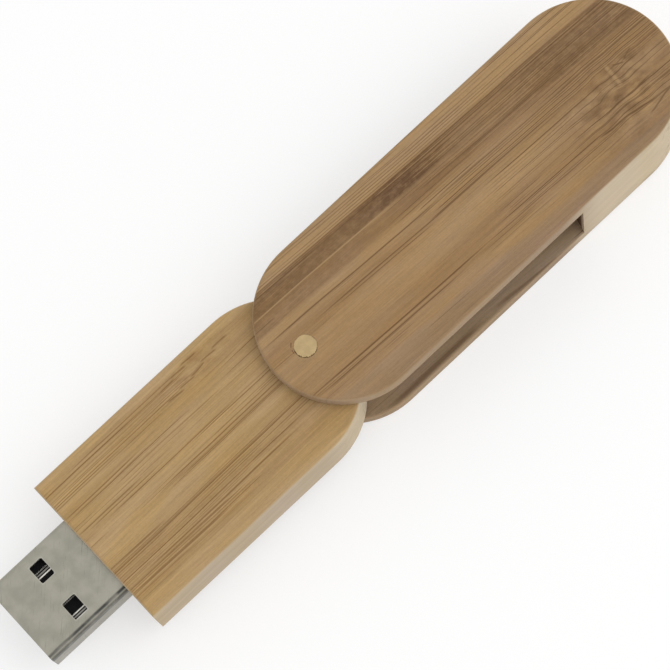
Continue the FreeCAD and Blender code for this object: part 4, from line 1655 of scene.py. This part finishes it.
    def build_joints(self, name: str, node: str, finish: Material) -> None:
        """Melt a node's solder joints, each a low mound.

        Args:
            name: what they are, which each piece's number follows.
            node: the node that they stand for.
            finish: their material.
        """
        for number, (low, high) in enumerate(solids(node), start=1):
            middle, half = (low + high) / 2, (high - low) / 2
            narrow = min(half.x, half.y)
            rings = []
            for step in range(self.mound_steps + 1):
                share = step / self.mound_steps
                inset = self.mound_draw * narrow * (1 - math.sqrt(1 - share * share))
                place = Vector((middle.x, middle.y, low.z + 2 * half.z * share))
                corner = self.mound_corner * (narrow - inset)
                rings.append(rounded_ring(place, half.x - inset, half.y - inset, corner))
            carving = Carving(f"{name}_{number}")
            carving.skin(rings)
            carving.set_in("drive", "solder", [finish], node)

    def dress(self) -> None:
        """Finish the board and build its parts."""
        laminate = Laminate(name="green_laminate", resist=(22, 92, 58), over_copper=(46, 132, 78),
                            glass=(196, 190, 142))
        dress("circuit_board", laminate.make(self.effects))
        solder = SmallMetal("bright_solder", MetalLook.SOLDER).make(self.effects)
        self.build_joints("contact_joint", "contact_solder", solder)
        self.build_joints("shell_joint", "shell_solder", solder)
        epoxy = Moulded("chip_epoxy", PlasticLook.EPOXY).make(self.effects)
        self.build_package("controller_package", "controller_chip", epoxy, upward=True)
        self.build_package("flash_package", "flash_chip", epoxy, upward=False)
        tin = SmallMetal("tinned_lead", MetalLook.TIN).make(self.effects)
        self.build_leads(tin)
        ceramic = Moulded("fired_ceramic", PlasticLook.CERAMIC).make(self.effects)
        self.build_capped("capacitor", "ceramic_capacitors", "capacitor_ceramic", [ceramic, tin])
        glaze = Moulded("glazed_resistor", PlasticLook.RESISTOR).make(self.effects)
        self.build_capped("resistor", "chip_resistors", "resistor_black", [glaze, tin])
        ferrite = Moulded("ferrite", PlasticLook.FERRITE).make(self.effects)
        self.build_capped("bead", "ferrite_bead", "resistor_black", [ferrite, tin])
        self.build_crystal(ferrite, SmallMetal("drawn_can", MetalLook.CAN).make(self.effects))
        white = Moulded("white_laminate", PlasticLook.WHITE).make(self.effects)
        lens = ClearEpoxy("lamp_epoxy", (222, 226, 214), (236, 214, 150)).make(self.effects)
        self.build_lamp([white, tin], lens)


# The studio


@dataclass
class Studio:
    """A pale floor, a white surround, one soft lamp and the camera. Angles are in degrees."""

    floor_reach: float = 3.0
    floor_colour: float = 0.95
    floor_lift: float = 0.5
    floor_glow: float = 1.06
    surround_light: float = 0.78
    lamp_power: float = 2.2
    lamp_side: float = 0.7
    lamp_place: tuple[float, float, float] = (0.32, -0.34, 0.74)
    lens: float = 149.0
    sensor: float = 36.0
    aim: tuple[float, float, float] = (4.206 * MM, 0.210 * MM, 6.5 * MM)
    distance: float = 344.8 * MM
    azimuth: float = -21.48
    elevation: float = 74.11
    roll: float = 22.25

    def build_floor(self) -> None:
        """Lay the floor level with the object's underside."""
        mesh = bpy.data.meshes.new("studio_floor")
        reach, level = self.floor_reach, CAD_BOX[0].z
        corners = [(x * reach, y * reach, level) for x, y in ((-1, -1), (1, -1), (1, 1), (-1, 1))]
        mesh.from_pydata(corners, [], [(0, 1, 2, 3)])
        floor = bpy.data.objects.new("studio_floor", mesh)
        bpy.context.scene.collection.objects.link(floor)
        mesh.materials.append(self.floor_material())

    def floor_material(self) -> Material:
        """A pale matt floor, lifted to white where it is seen straight, in metal or through glass.

        Returns:
            The material.
        """
        material = bpy.data.materials.new("pale_floor")
        material.use_nodes = True
        bench = Bench(material.node_tree)
        bench.tree.nodes.clear()
        pale = (self.floor_colour,) * 3 + (1.0,)
        matt = bench.node("BsdfDiffuse", {"Color": pale})
        lift = bench.node("Emission", {"Color": (1.0, 1.0, 1.0, 1.0), "Strength": self.floor_glow})
        share = bench.product(self.seen_rays(bench), self.floor_lift)
        both = bench.node("MixShader", {0: share, 1: matt.outputs[0], 2: lift.outputs[0]})
        bench.node("OutputMaterial", {"Surface": both.outputs[0]})
        return material

    def seen_rays(self, bench: Bench) -> Socket:
        """Tell the rays that see the studio: from the camera, off gloss and through glass.

        Args:
            bench: the shader nodes' bench.

        Returns:
            1 for such rays, else 0.
        """
        path = bench.node("LightPath").outputs
        seen = bench.math("MAXIMUM", path["Is Camera Ray"], path["Is Glossy Ray"])
        return bench.math("MAXIMUM", seen, path["Is Transmission Ray"])

    def build_surround(self) -> None:
        """Light the object evenly from a surround that looks white."""
        world = bpy.data.worlds.new("studio_surround")
        world.use_nodes = True
        bpy.context.scene.world = world
        bench = Bench(world.node_tree)
        bench.tree.nodes.clear()
        glow = bench.node("Background", {"Color": (1.0, 1.0, 1.0, 1.0)})
        strength = bench.math("MULTIPLY_ADD", self.seen_rays(bench), 1 - self.surround_light,
                              self.surround_light)
        bench.feed(glow.inputs["Strength"], strength)
        bench.node("OutputWorld", {"Surface": glow.outputs[0]})

    def build_lamp(self) -> None:
        """Hang one large soft lamp above and to the side."""
        lamp = bpy.data.lights.new("soft_lamp", "AREA")
        lamp.shape = "SQUARE"
        lamp.size = self.lamp_side
        lamp.energy = self.lamp_power
        hung = bpy.data.objects.new("soft_lamp", lamp)
        hung.location = self.lamp_place
        hung.rotation_euler = (-Vector(self.lamp_place)).to_track_quat("-Z", "Y").to_euler()
        bpy.context.scene.collection.objects.link(hung)

    def build_camera(self) -> None:
        """Set up the camera, looking down on the object and rolled."""
        around, up = math.radians(self.azimuth), math.radians(self.elevation)
        back = Vector((math.sin(around) * math.cos(up), -math.cos(around) * math.cos(up), math.sin(up)))
        level = (-back).to_track_quat("-Z", "Y").to_matrix().to_4x4()
        turned = level @ Matrix.Rotation(math.radians(-self.roll), 4, "Z")
        data = bpy.data.cameras.new("studio_camera")
        data.lens = self.lens
        data.sensor_width = self.sensor
        data.clip_start = 0.01
        data.clip_end = 20.0
        camera = bpy.data.objects.new("studio_camera", data)
        camera.matrix_world = Matrix.Translation(Vector(self.aim) + back * self.distance) @ turned
        bpy.context.scene.collection.objects.link(camera)
        bpy.context.scene.camera = camera

    def build(self) -> None:
        """Build all of the studio."""
        self.build_floor()
        self.build_surround()
        self.build_lamp()
        self.build_camera()
        bpy.context.scene.view_settings.view_transform = "Standard"
        log.info("studio: floor, surround, lamp and camera")


def main() -> None:
    """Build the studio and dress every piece."""
    logging.basicConfig(level=logging.INFO, format="%(name)s: %(message)s")
    Studio().build()
    effects = Effects()
    for assembly in (Cover(effects), Body(effects), Plug(effects), Board(effects)):
        assembly.dress()


if __name__ == "__main__":
    main()
